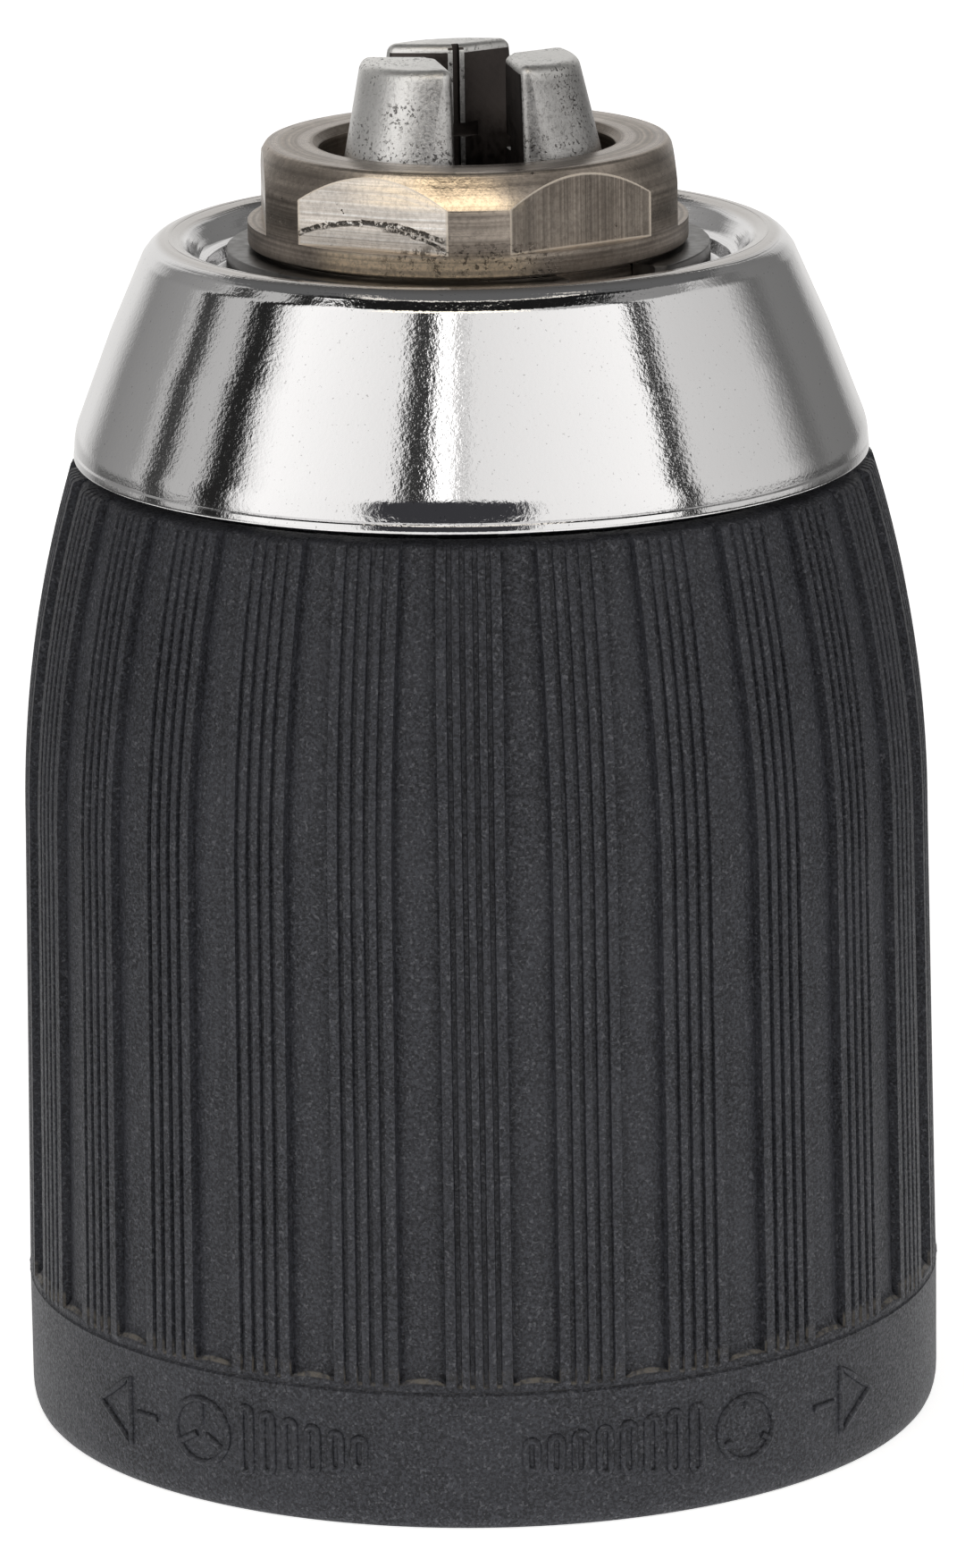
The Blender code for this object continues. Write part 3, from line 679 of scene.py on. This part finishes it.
def sleeve_outline():
    """(radius, height, whether ribs show) from the top edge down the outside and up the inside."""
    top_edge = SLEEVE_TOP - 0.22
    rows = [(17.35, SLEEVE_TOP, True), (18.05, SLEEVE_TOP - 0.02, True),
            (sleeve_radius(top_edge) - 0.1, SLEEVE_TOP - 0.12, True)]
    upper = 20
    heights = [top_edge + (SHOULDER_Z - top_edge) * number / upper for number in range(upper + 1)]
    heights += [24.0, 19.0, 14.0, 10.0, 8.0]
    lower = 10
    heights += [SEAM_Z + 1.05 - 0.9 * number / lower for number in range(lower + 1)]
    rows += [(sleeve_radius(height), height, True) for height in heights]
    rows += [(SLEEVE_REACH - 0.06, FLASH_Z, True), (BAND_RADIUS - 0.1, SEAM_Z + 0.01, False),
             (BAND_RADIUS - 0.08, SEAM_Z - 0.05, False), (BAND_RADIUS, SEAM_Z - 0.12, False),
             (BAND_RADIUS, 4.0, False), (BAND_RADIUS, 1.25, False)]
    steps = 6
    for number in range(1, steps + 1):
        turn = pi / 2 * number / steps
        rows.append((BAND_RADIUS - BAND_ROUND * (1 - cos(turn)),
                     BAND_ROUND_Z * (1 - sin(turn)), False))
    rows += [(19.05, 0.0, False), (18.80, 0.25, False), (18.75, 0.6, False), (18.75, 20.3, False),
             (18.92, 20.3, False), (18.92, 38.55, False), (16.82, 38.55, False),
             (16.82, SLEEVE_TOP - 0.3, False), (17.05, SLEEVE_TOP, False)]
    return rows


def make_sleeve(material):
    """The sleeve, with a slightly uneven line of flash where its ribs end over the band."""
    random.seed(7)
    columns = pitch_columns()
    shape = bmesh.new()
    rows = []
    for radius, height, ribbed in sleeve_outline():
        row = []
        for flute in range(FLUTE_COUNT):
            for angle, kind in columns:
                depth = column_depth(angle, kind, height) if ribbed else 0.0
                flash = random.uniform(-0.02, 0.02) if abs(height - FLASH_Z) < 0.01 else 0.0
                turn = radians(narrowed(angle, height)) + FLUTE_AZIMUTH
                turn += 2 * pi * flute / FLUTE_COUNT
                row.append(shape.verts.new(polar(radius - depth + flash, turn, height)))
        rows.append(row)
    for first, second in zip(rows, rows[1:] + rows[:1]):
        join_rows(shape, first, second)
    bmesh.ops.recalc_face_normals(shape, faces=shape.faces)
    sleeve = make_object("grip_sleeve_ribbed", shape, radians(35))
    install(sleeve, "sleeve_drive", "charcoal_plastic", material, "grip_sleeve")


# ---------------------------------------------------------------- band marks

def raised_line(points, close):
    """A raised hairline on the band along (azimuth, height) points."""
    track = []
    count = len(points)
    for index in range(count if close else count - 1):
        start, end = Vector(points[index]), Vector(points[(index + 1) % count])
        pieces = max(1, round((end - start).length / 1.2))
        for number in range(pieces):
            track.append(start + (end - start) * number / pieces)
    if not close:
        track.append(Vector(points[-1]))
    sections = []
    sides = 8
    for index, point in enumerate(track):
        if close:
            ahead, behind = track[(index + 1) % len(track)], track[index - 1]
        else:
            ahead, behind = track[min(index + 1, len(track) - 1)], track[max(index - 1, 0)]
        run = Vector(((ahead.x - behind.x) * BAND_DEGREE, ahead.y - behind.y)).normalized()
        across = Vector((-run.y, run.x))
        section = []
        for side in range(sides):
            turn = 2 * pi * side / sides
            aside = across * MARK_RADIUS * cos(turn) * MARK_SPREAD
            azimuth = radians(point.x - 90) + aside.x / BAND_RADIUS
            reach = BAND_RADIUS + MARK_RADIUS * sin(turn)
            section.append(polar(reach, azimuth, point.y + aside.y))
        sections.append(section)
    return swept_tube(sections, close)


def arc_points(centre, radius, start, end, count):
    """Points on an arc over the band, as (azimuth, height)."""
    points = []
    for number in range(count):
        turn = radians(start + (end - start) * number / (count - 1))
        points.append((centre[0] + radius * cos(turn) / BAND_DEGREE,
                       centre[1] + radius * sin(turn)))
    return points


def bar_outline(azimuth, half_height):
    """A rounded upright bar, as a closed outline."""
    stand = half_height - BAR_HALF_WIDTH
    top = arc_points((azimuth, MARK_Z + stand), BAR_HALF_WIDTH, 0, 180, 7)
    bottom = arc_points((azimuth, MARK_Z - stand), BAR_HALF_WIDTH, 180, 360, 7)
    return top + bottom


def arrow_lines(side):
    """An arrow's head and shaft, as points and whether they close; it points to one side."""
    tip, back = side * 55.5, side * 49.4
    head = [(tip, MARK_Z), (back, MARK_Z + 1.55), (back, MARK_Z - 1.55)]
    return [(head, True), ([(side * 48.0, MARK_Z), (side * 44.4, MARK_Z)], False)]


def dial_lines(azimuth, jaw_gap):
    """A ring with three jaws that stop at a distance from its middle."""
    middle = (azimuth, MARK_Z)
    lines = [(arc_points(middle, DIAL_RADIUS, 0, 345, 24), True)]
    for number in range(3):
        turn = 90 + 120 * number
        outer = arc_points(middle, DIAL_RADIUS, turn, turn + 1, 2)[0]
        inner = arc_points(middle, jaw_gap, turn, turn + 1, 2)[0]
        lines.append(([outer, inner], False))
    return lines


def bar_lines(first_azimuth, count, start, end):
    lines = []
    for number in range(count):
        tall = start + (end - start) * number / (count - 1)
        lines.append((bar_outline(first_azimuth + BAR_STEP * number, tall), True))
    return lines


def make_band_marks(material):
    """Generic marks: an arrow each way, bars that shorten or grow, and shut or open jaws."""
    lines = arrow_lines(-1) + dial_lines(-37.2, 0.28) + bar_lines(-30.5, 6, BAR_TALL, BAR_SHORT)
    lines += arrow_lines(1) + dial_lines(33.6, 0.95) + bar_lines(5.5, 8, BAR_SHORT, BAR_TALL)
    joined = bmesh.new()
    for points, close in lines:
        line = raised_line(points, close)
        scratch = bpy.data.meshes.new("scratch")
        line.to_mesh(scratch)
        line.free()
        joined.from_mesh(scratch)
        bpy.data.meshes.remove(scratch)
    marks = make_object("band_marks", joined, radians(60))
    install(marks, "sleeve_drive", "charcoal_plastic", material)


# ---------------------------------------------------------------- nose ring, snap ring, cover

def make_nose_ring(material):
    corners = [
        (CREST_RADIUS, RING_TOP, 1.14), (14.57, 54.70, 0.8), (14.90, 54.27, 0.8),
        (16.45, 50.7, 9.0), (18.15, 46.2, 3.0), (18.2, 45.5, 0.0), (18.14, 45.42, 0.0),
        (18.21, 45.34, 0.0), (18.26, 44.95, 0.16), (17.4, 44.95, 0.1), (17.2, 45.4, 0.0),
        (16.74, 45.4, 0.1), (16.74, RING_FOOT, 0.3), (15.5, RING_FOOT, 0.3), (15.5, 47.0, 0.5),
        (13.6, 51.65, 0.5), (10.38, 51.65, 0.1), (10.38, 53.15, 0.15), (11.85, 53.15, 0.1),
        (12.0, 53.8, 0.1), (12.35, 53.9, 0.35), (13.05, RING_TOP - 0.07, 1.25),
    ]
    ring = make_object("nose_ring_polished", turned(rounded(corners), 240), radians(30))
    install(ring, "sleeve_drive", "chrome", material, "nose_ring")


def make_snap_ring(material):
    """An open ring of square wire, thinner at its two ends."""
    inner = 9.36
    start, end = radians(-38), radians(295)
    end_length = 0.45
    steps = 160
    sections = []
    for step in range(steps + 1):
        share = step / steps
        turn = start + (end - start) * share
        from_end = min(share, 1 - share) * (end - start) * SNAP_RADIUS
        taper = 0.45 * max(0.0, 1 - from_end / end_length)
        outer = SNAP_RADIUS - taper
        wire = rounded([(outer, SNAP_HIGH, 0.14), (outer, SNAP_LOW, 0.14), (inner, SNAP_LOW, 0.06),
                        (inner, SNAP_HIGH, 0.06)], 3)
        sections.append([polar(radius, turn, height) for radius, height in wire])
    ring = make_object("snap_ring_sprung", swept_tube(sections))
    install(ring, "chuck_body", "spring_steel", material, "snap_ring")


def make_rear_cover(material):
    low, high = COVER_LOW, COVER_HIGH
    corners = [
        (COVER_RADIUS, high, 0.15), (COVER_RADIUS, low, 0.3), (17.3, low, 0.1), (17.1, low + 0.3, 0.1),
        (12.6, low + 0.3, 0.1), (12.4, low, 0.1), (10.06, low, 0.12), (10.06, 1.9, 0.1),
        (17.2, 1.9, 0.2), (17.2, high, 0.15),
    ]
    cover = make_object("rear_cover_moulded", turned(rounded(corners, 4), 160))
    slots = bmesh.new()
    for number in range(6):
        block(slots, (13.6, -0.9, low - 1), (16.2, 0.9, low + 0.75), 2 * pi * number / 6)
    carve(cover, make_object("cover_slots", slots))
    install(cover, "chuck_body", "black_plate", material, "rear_cover")


# ---------------------------------------------------------------- body

def jaw_line(azimuth=0.0):
    return (Matrix.Rotation(azimuth, 4, 'Z') @ Matrix.Translation((JAW_LINE_AT_NOSE, 0, NOSE_Z))
            @ Matrix.Rotation(-JAW_TILT, 4, 'Y'))


def cut_jaw_bores(piece, low, high):
    """Cut the three inclined bores, one at a time because they cross near the nose."""
    radius = JAW_RADIUS + JAW_CLEARANCE
    for azimuth in JAW_AZIMUTHS:
        bore = bmesh.new()
        bmesh.ops.create_cone(bore, cap_ends=True, segments=64, radius1=radius, radius2=radius,
                              depth=160, matrix=jaw_line(azimuth))
        slice_off(bore, Vector((0, 0, high)), Vector((0, 0, 1)))
        slice_off(bore, Vector((0, 0, low)), Vector((0, 0, -1)))
        bmesh.ops.recalc_face_normals(bore, faces=bore.faces)
        carve(piece, make_object("bore_cutter", bore), sharp=FLAT_SHARP)


def make_collar(lathe_steel, milled_steel, lit_flat_steel):
    """The nose collar, with its chamfer and six spanner flats, down to the snap ring's groove."""
    corners = [
        (NOSE_FACE_RADIUS, NOSE_Z, 0.3), (NOSE_RADIUS, CHAMFER_Z, 0.12),
        (NOSE_RADIUS, COLLAR_FOOT_Z, 0.15), (NECK_RADIUS, COLLAR_FOOT_Z, 0.05),
        (NECK_RADIUS, COLLAR_SPLIT_Z, 0), (BORE_RADIUS, COLLAR_SPLIT_Z, 0),
        (BORE_RADIUS, 59.05, 0.1), (BORE_RADIUS + 0.28, NOSE_Z, 0.1),
    ]
    collar = make_object("chuck_body_collar", turned(rounded(corners, 4), 192), FLAT_SHARP)
    flats = bmesh.new()
    for number in range(6):
        block(flats, (FLAT_APOTHEM, -5.3, FLAT_FOOT_Z), (FLAT_APOTHEM + 3, 5.3, NOSE_Z + 2),
              FLAT_AZIMUTH + pi * number / 3)
    carve(collar, make_object("flat_cutters", flats), sharp=FLAT_SHARP)
    cut_jaw_bores(collar, COLLAR_SPLIT_Z - 1, 58.0)
    install(collar, "chuck_body", "gunmetal", lathe_steel, "chuck_body")
    collar.data.materials.append(milled_steel)
    collar.data.materials.append(lit_flat_steel)
    # Left flats take a lighter copy of the steel as painted light; right flats take the milled steel.
    for face in collar.data.polygons:
        centre, normal = face.center / MM, face.normal
        on_flat = abs(centre.x * normal.x + centre.y * normal.y - FLAT_APOTHEM) < 0.02
        if centre.z > FLAT_FOOT_Z and abs(normal.z) < 0.01 and on_flat:
            face.material_index = 2 if centre.x < 0 else 1


def make_inner_body(material):
    """The rest of the body: neck, step, nut seat, bearing flange and rear hub with its socket."""
    corners = [
        (NECK_RADIUS, COLLAR_SPLIT_Z, 0), (NECK_RADIUS, 53.3, 0), (NOSE_RADIUS, 53.3, 0.1),
        (NOSE_RADIUS, 46.5, 0), (13.2, 44.6, 0.1), (13.2, 38.4, 0.1), (10.2, 38.4, 0),
        (10.2, 24.1, 0), (FLANGE_RADIUS, 24.1, 0.2), (FLANGE_RADIUS, 19.5, 0.2), (10.0, 19.5, 0),
        (10.0, 0.45, 0.1), (9.55, 0.0, 0.08), (6.9, 0.0, 0.1), (5.9, 1.0, 0.1), (5.9, 14.5, 0),
        (3.25, 15.5, 0.1), (3.25, 17.1, 0.1), (BORE_RADIUS, 18.3, 0),
        (BORE_RADIUS, COLLAR_SPLIT_Z, 0),
    ]
    body = make_object("chuck_body_inner", turned(rounded(corners, 3), 128), FLAT_SHARP)
    cut_jaw_bores(body, 10.0, COLLAR_SPLIT_Z + 1)
    install(body, "chuck_body", "gunmetal", material, "chuck_body")


def make_socket_thread(material):
    """The rear socket's thread, as a ridge standing in from its wall and running out at its ends."""
    sections = []
    per_turn = 48
    run_out = 20
    for step in range(int(THREAD_TURNS * per_turn) + 1):
        turn = 2 * pi * step / per_turn
        height = THREAD_FOOT_Z + THREAD_PITCH * step / per_turn
        ease = min(1.0, step / run_out, (THREAD_TURNS * per_turn - step) / run_out)
        crest = SOCKET_RADIUS - THREAD_HEIGHT * ease
        section = [(SOCKET_RADIUS, -0.52), (crest, -0.08), (crest, 0.08), (SOCKET_RADIUS, 0.52)]
        sections.append([polar(radius, turn, height + rise) for radius, rise in section])
    thread = make_object("socket_thread", swept_tube(sections), radians(40))
    install(thread, "chuck_body", "gunmetal", material)


# ---------------------------------------------------------------- jaws

def jaw_axis(height):
    return JAW_LINE_AT_NOSE + (NOSE_Z - height) * tan(JAW_TILT)


def jaw_reach(height):
    return jaw_axis(height) + JAW_RADIUS / cos(JAW_TILT)


def slice_off(shape, point, normal):
    geometry = shape.verts[:] + shape.edges[:] + shape.faces[:]
    cut = bmesh.ops.bisect_plane(shape, geom=geometry, plane_co=point, plane_no=normal,
                                 clear_outer=True)
    rim = [item for item in cut["geom_cut"] if isinstance(item, bmesh.types.BMEdge)]
    bmesh.ops.contextual_create(shape, geom=rim)


def wedge_normal(side):
    """The outward normal of one of the two faces of a jaw's gripping wedge."""
    return Vector((-sin(radians(60)), side * 0.5, 0))


def jaw_corner(height, side):
    """Where a wedge face meets the round back of a jaw, at a height, and the back's normal."""
    centre = jaw_axis(height)
    squeeze = cos(JAW_TILT) ** 2
    first, second = squeeze + 3, 2 * (squeeze * centre + 3 * GRIP_HALF_GAP)
    third = squeeze * centre ** 2 + 3 * GRIP_HALF_GAP ** 2 - JAW_RADIUS ** 2
    x = (second + sqrt(second ** 2 - 4 * first * third)) / (2 * first)
    y = side * sqrt(3) * (x - GRIP_HALF_GAP)
    return Vector((x, y, height)), Vector((squeeze * (x - centre), y, 0)).normalized()


def round_corners(shape):
    """Round a jaw's two long corners where they show, as facets around a small arc."""
    for side in (-1, 1):
        upper, outward = jaw_corner(JAW_TIP_Z, side)
        lower, _ = jaw_corner(NOSE_Z - 2.0, side)
        run = (upper - lower).normalized()
        inward = wedge_normal(side)
        middle = (inward + outward).normalized()
        stand = CORNER_ROUND / cos(inward.angle(outward) / 2)
        for share in (0.2, 0.4, 0.6, 0.8):
            normal = inward.slerp(outward, share)
            depth = stand * middle.dot(normal) - CORNER_ROUND
            facing = (normal - run * normal.dot(run)).normalized()
            slice_off(shape, upper - normal * depth, facing)


def make_jaw_blank(name):
    """A round bar with its gripping wedge, its tip edge rounded over and its corners broken."""
    shape = bmesh.new()
    bmesh.ops.create_cone(shape, cap_ends=True, segments=96, radius1=JAW_RADIUS,
                          radius2=JAW_RADIUS, depth=140, matrix=jaw_line())
    tip = Vector((GRIP_HALF_GAP, 0, JAW_TIP_Z))
    up = Vector((sin(TIP_SLOPE), 0, cos(TIP_SLOPE)))
    slice_off(shape, tip, up)
    slice_off(shape, Vector((0, 0, JAW_TAIL_Z)), Vector((0, 0, -1)))
    for side in (-1, 1):
        slice_off(shape, Vector((GRIP_HALF_GAP, 0, 0)), wedge_normal(side))
    slice_off(shape, Vector((LAND_X, 0, 0)), Vector((-1, 0, 0)))
    round_corners(shape)
    tail = Vector((jaw_reach(JAW_TAIL_Z) - 0.5, 0, JAW_TAIL_Z))
    slice_off(shape, tail, Vector((1, 0, -0.6)).normalized())
    rim = [edge for edge in shape.edges
           if all(abs((vert.co - tip).dot(up)) < 0.001 for vert in edge.verts)]
    bmesh.ops.bevel(shape, geom=rim, offset=TIP_ROUND, segments=5, profile=0.5, affect='EDGES',
                    clamp_overlap=False)
    bmesh.ops.recalc_face_normals(shape, faces=shape.faces)
    return make_object(name, shape)


def make_grooves(azimuth):
    """Arcs that cut a jaw's teeth, in step with the nut's thread."""
    shape = bmesh.new()
    reach_at_nut = jaw_reach(NUT_MIDDLE_Z)
    floor_radius = reach_at_nut - TOOTH_DEPTH
    mouth, floor_half, mouth_half = 2.2, 0.575, 1.08
    section = [(0.0, -floor_half), (mouth, -mouth_half), (mouth, mouth_half), (0.0, floor_half)]
    lead = Matrix.Rotation(atan(AXIAL_PITCH / (2 * pi * floor_radius)), 4, 'X')
    foot = NUT_FOOT_Z + AXIAL_PITCH * azimuth / (2 * pi)
    first_turn = ceil((JAW_TAIL_Z - mouth_half - foot) / AXIAL_PITCH)
    last_turn = floor((TOOTHED_TOP_Z - foot) / AXIAL_PITCH)
    half_arc, steps = radians(24), 16
    for turn in range(first_turn, last_turn + 1):
        height = foot + AXIAL_PITCH * turn
        place = Matrix.Translation((jaw_reach(height) - reach_at_nut, 0, height)) @ lead
        rows = []
        for step in range(steps + 1):
            around = Matrix.Rotation(-half_arc + 2 * half_arc * step / steps, 4, 'Z')
            rows.append([shape.verts.new(place @ (around @ Vector((floor_radius + out, 0, rise))))
                         for out, rise in section])
        for first, second in zip(rows, rows[1:]):
            join_rows(shape, first, second)
        shape.faces.new(rows[0])
        shape.faces.new(list(reversed(rows[-1])))
    bmesh.ops.recalc_face_normals(shape, faces=shape.faces)
    return make_object("groove_cutters", shape)


def is_grip_face(face):
    """Whether a jaw's face belongs to its wedge beside the land, or to what is sunk in the land."""
    beyond = face.center.x / MM - LAND_X
    wedge = face.normal.x < -0.45 and abs(face.normal.z) < 0.05
    sunk = 0.02 < beyond < NOTCH_DEPTH + 0.02 and abs(face.center.y) / MM < NOTCH_HALF + 0.05
    return (wedge and abs(beyond) >= 0.02) or (sunk and face.normal.z < 0.5)


def make_jaws(material, shaded_grip_material):
    """Three jaws with their teeth, a groove down the gripping land and a notch across it."""
    for number, azimuth in enumerate(JAW_AZIMUTHS, start=1):
        jaw = make_jaw_blank(f"jaw_{number}_ground")
        carve(jaw, make_grooves(azimuth))
        groove = bmesh.new()
        block(groove, (LAND_X - 1, -0.16, 44.0), (LAND_X + 0.32, 0.16, JAW_TIP_Z + 1))
        carve(jaw, make_object("land_groove", groove))
        notch = bmesh.new()
        block(notch, (LAND_X - 1, -NOTCH_HALF, 59.1), (LAND_X + NOTCH_DEPTH, NOTCH_HALF, 59.75))
        carve(jaw, make_object("land_notch", notch))
        install(jaw, f"jaw_{number}", "jaw_steel", material, f"jaw_{number}")
        # The wedge faces and what is sunk in the land take a dark steel: painted shade inside the
        # jaws.
        jaw.data.materials.append(shaded_grip_material)
        for face in jaw.data.polygons:
            if is_grip_face(face):
                face.material_index = 1
        jaw.data.transform(Matrix.Rotation(azimuth, 4, 'Z'))


def make_balls(material):
    names = [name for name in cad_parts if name.startswith("ball_") and name != "ball_cage"]
    for name in names:
        low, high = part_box(name)
        centre = (Vector(low) + Vector(high)) / 2
        shape = bmesh.new()
        bmesh.ops.create_icosphere(shape, subdivisions=3, radius=1.0)
        bmesh.ops.translate(shape, vec=centre / MM, verts=shape.verts)
        ball = make_object(f"{name}_ground", shape, radians(60))
        install(ball, "ball_race", "bearing_steel", material, name)


# ---------------------------------------------------------------- stage

def make_camera():
    """At the photograph's viewing angle: looking down a little on the chuck's front."""
    elevation = radians(CAMERA_ELEVATION)
    data = bpy.data.cameras.new("camera")
    data.lens = CAMERA_LENS
    data.sensor_width = 36.0
    data.shift_x, data.shift_y = CAMERA_SHIFT
    data.clip_start = 0.01
    camera = bpy.data.objects.new("camera", data)
    bpy.context.scene.collection.objects.link(camera)
    aim = Vector((0, 0, CAMERA_AIM_Z))
    away = Vector((0, -cos(elevation), sin(elevation)))
    camera.location = (aim + away * CAMERA_DISTANCE) * MM
    facing = Matrix.Rotation(pi / 2 - elevation, 4, 'X')
    roll = Matrix.Rotation(radians(CAMERA_ROLL), 4, 'Z')
    camera.rotation_euler = (facing @ roll).to_euler()
    bpy.context.scene.camera = camera


def level(degrees):
    """Height, on a unit sphere, of what stands at an elevation."""
    return sin(radians(degrees))


def panels(sky, around, brightness):
    """Brightness read from (azimuth, brightness) stops along a turn that runs from 0 to 1."""
    node = sky.tree.nodes.new("ShaderNodeValToRGB")
    stops = node.color_ramp.elements
    while len(stops) < len(brightness):
        stops.new(0.5)
    for stop, (degrees, bright) in zip(stops, brightness):
        stop.position = (degrees + 180) / 360
        stop.color = (*(bright * channel for channel in WARMTH), 1.0)
    sky.put(node.inputs[0], around)
    return node.outputs[0]


def figure(sky, azimuth, height):
    """Where a dark figure with a rounded top stands, just left of the camera."""
    low, high = level(-9), level(23)
    reach = (high - low) / 2
    aside = sky.compute('ABSOLUTE', sky.total(azimuth, radians(7)))
    off = sky.compute('ABSOLUTE', sky.compute('SUBTRACT', height, (low + high) / 2))
    off = sky.total(off, sky.times(aside, aside, 0.5))
    return sky.times(sky.fall(aside, 0.34, 0.48), sky.fall(off, reach - 0.04, reach + 0.03))


def right_shade(sky, azimuth, height):
    """Where the walls are shaded above, to the right."""
    turned_right = sky.ramp(azimuth, radians(20), radians(40), 0.0, 0.6)
    return sky.times(sky.ramp(height, level(38), level(42)), turned_right)


def front_lamp(sky, azimuth, height):
    """Where a warm lamp hangs, above the figure."""
    aside = sky.compute('ABSOLUTE', sky.total(azimuth, radians(8)))
    return sky.times(sky.ramp(height, level(41), level(43)),
                          sky.fall(aside, radians(24), radians(36)))


def overhead(sky, azimuth, height):
    """A dim ceiling, lower at the back, with a dark gap and a bright strip in front."""
    from_front = sky.compute('ABSOLUTE', azimuth)
    edge = sky.ramp(from_front, radians(60), radians(150), level(53), level(38))
    above = sky.ramp(sky.compute('SUBTRACT', height, edge), 0.0, 0.03)
    front = sky.fall(from_front, radians(80), radians(100))
    gap = sky.times(front, sky.fall(height, level(65), level(66)), above)
    strip = sky.times(sky.ramp(height, level(66), level(67)),
                           sky.fall(height, level(70), level(71.5)))
    return ((above, CEILING), (gap, (0.012, 0.012, 0.012)),
            (sky.times(front, strip), (1.10, 1.04, 0.95)))


def make_world():
    """Soft panels around the chuck with dark gaps between them, and a ceiling."""
    world = bpy.data.worlds.new("studio")
    bpy.context.scene.world = world
    world.use_nodes = True
    tree = world.node_tree
    tree.nodes.clear()
    sky = Nodes(tree, tree.nodes.new("ShaderNodeTexCoord").outputs["Generated"])
    x, y, height = sky.split()
    azimuth = sky.compute('ARCTAN2', x, sky.times(y, -1.0))
    around = sky.total(sky.compute('DIVIDE', azimuth, 2 * pi), 0.5)
    light = sky.blend(sky.ramp(height, *WALL_FOOT), panels(sky, around, BELOW),
                         panels(sky, around, AROUND))
    light = sky.layers(
        light,
        (figure(sky, azimuth, height), (0.045, 0.045, 0.05)),
        (right_shade(sky, azimuth, height), (0.03, 0.03, 0.03)),
        (front_lamp(sky, azimuth, height), (1.65, 1.50, 1.28)),
        *overhead(sky, azimuth, height))
    seen = tree.nodes.new("ShaderNodeLightPath").outputs["Is Camera Ray"]
    background = tree.nodes.new("ShaderNodeBackground")
    sky.put(background.inputs["Color"], sky.blend(seen, light, BACKDROP))
    output = tree.nodes.new("ShaderNodeOutputWorld")
    tree.links.new(background.outputs[0], output.inputs["Surface"])


def make_floor():
    """A pale floor; only the part near the chuck shows in its reflections."""
    look = Look("floor_paper", (0.93, 0.93, 0.93), 0.9)
    look.feed("Base Color", look.blend(look.noise(0.04), (0.92, 0.92, 0.92), (0.94, 0.94, 0.94)))
    look.set("Emission Color", (1.0, 1.0, 1.0, 1.0))
    look.set("Emission Strength", 0.75)
    for name, radius, drop, mirrored in (("floor", 2500, 0.02, False), ("floor_near", 95, 0.01, True)):
        shape = bmesh.new()
        bmesh.ops.create_circle(shape, cap_ends=True, segments=96, radius=radius)
        sheet = make_object(name, shape)
        sheet.location.z = -drop * MM
        sheet.data.materials.append(look.material)
        sheet.visible_glossy = mirrored


def main():
    steel = cut_steel("gunmetal", "turned", (0.27, 0.23, 0.195), (0.45, 0.39, 0.335))
    milled = cut_steel("gunmetal_milled", "up", (0.27, 0.23, 0.195), (0.45, 0.39, 0.335))
    # A lighter copy of the steel for the left flats: painted light.
    left_flat_lit_steel = cut_steel("gunmetal_lit_left_flats", "across", (0.62, 0.565, 0.51), (0.84, 0.77, 0.70))
    plastic = charcoal_plastic()
    bright = chrome()
    spring = plain_metal("spring_steel", (0.14, 0.135, 0.13), 0.34)
    bearing = plain_metal("bearing_steel", (0.62, 0.62, 0.63), 0.16)
    nut = plain_metal("nut_steel", (0.33, 0.32, 0.31), 0.4)
    zinc = plain_metal("zinc_plate", (0.55, 0.55, 0.53), 0.36)
    brass = plain_metal("cage_brass", (0.66, 0.48, 0.20), 0.35)

    make_sleeve(plastic)
    make_band_marks(plastic)
    make_nose_ring(bright)
    make_snap_ring(spring)
    make_rear_cover(black_plate())
    make_collar(steel, milled, left_flat_lit_steel)
    make_inner_body(steel)
    make_socket_thread(steel)
    # The jaws' gripping faces get a dark steel that stands for painted shade.
    make_jaws(blasted_steel(), plain_metal("jaw_grip_painted_shade", (0.085, 0.073, 0.068), 0.42, 2.6))
    make_balls(bearing)

    carried = {
        "rear_race_washer": bearing, "front_race_washer": bearing, "drive_insert": zinc,
        "nut_band": zinc, "nut_half_a": nut, "nut_half_b": nut, "ball_cage": brass,
    }
    for name, material in carried.items():
        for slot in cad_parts[name].material_slots:
            slot.material = material

    make_camera()
    make_world()
    make_floor()
    bpy.context.scene.view_settings.view_transform = 'Standard'


main()
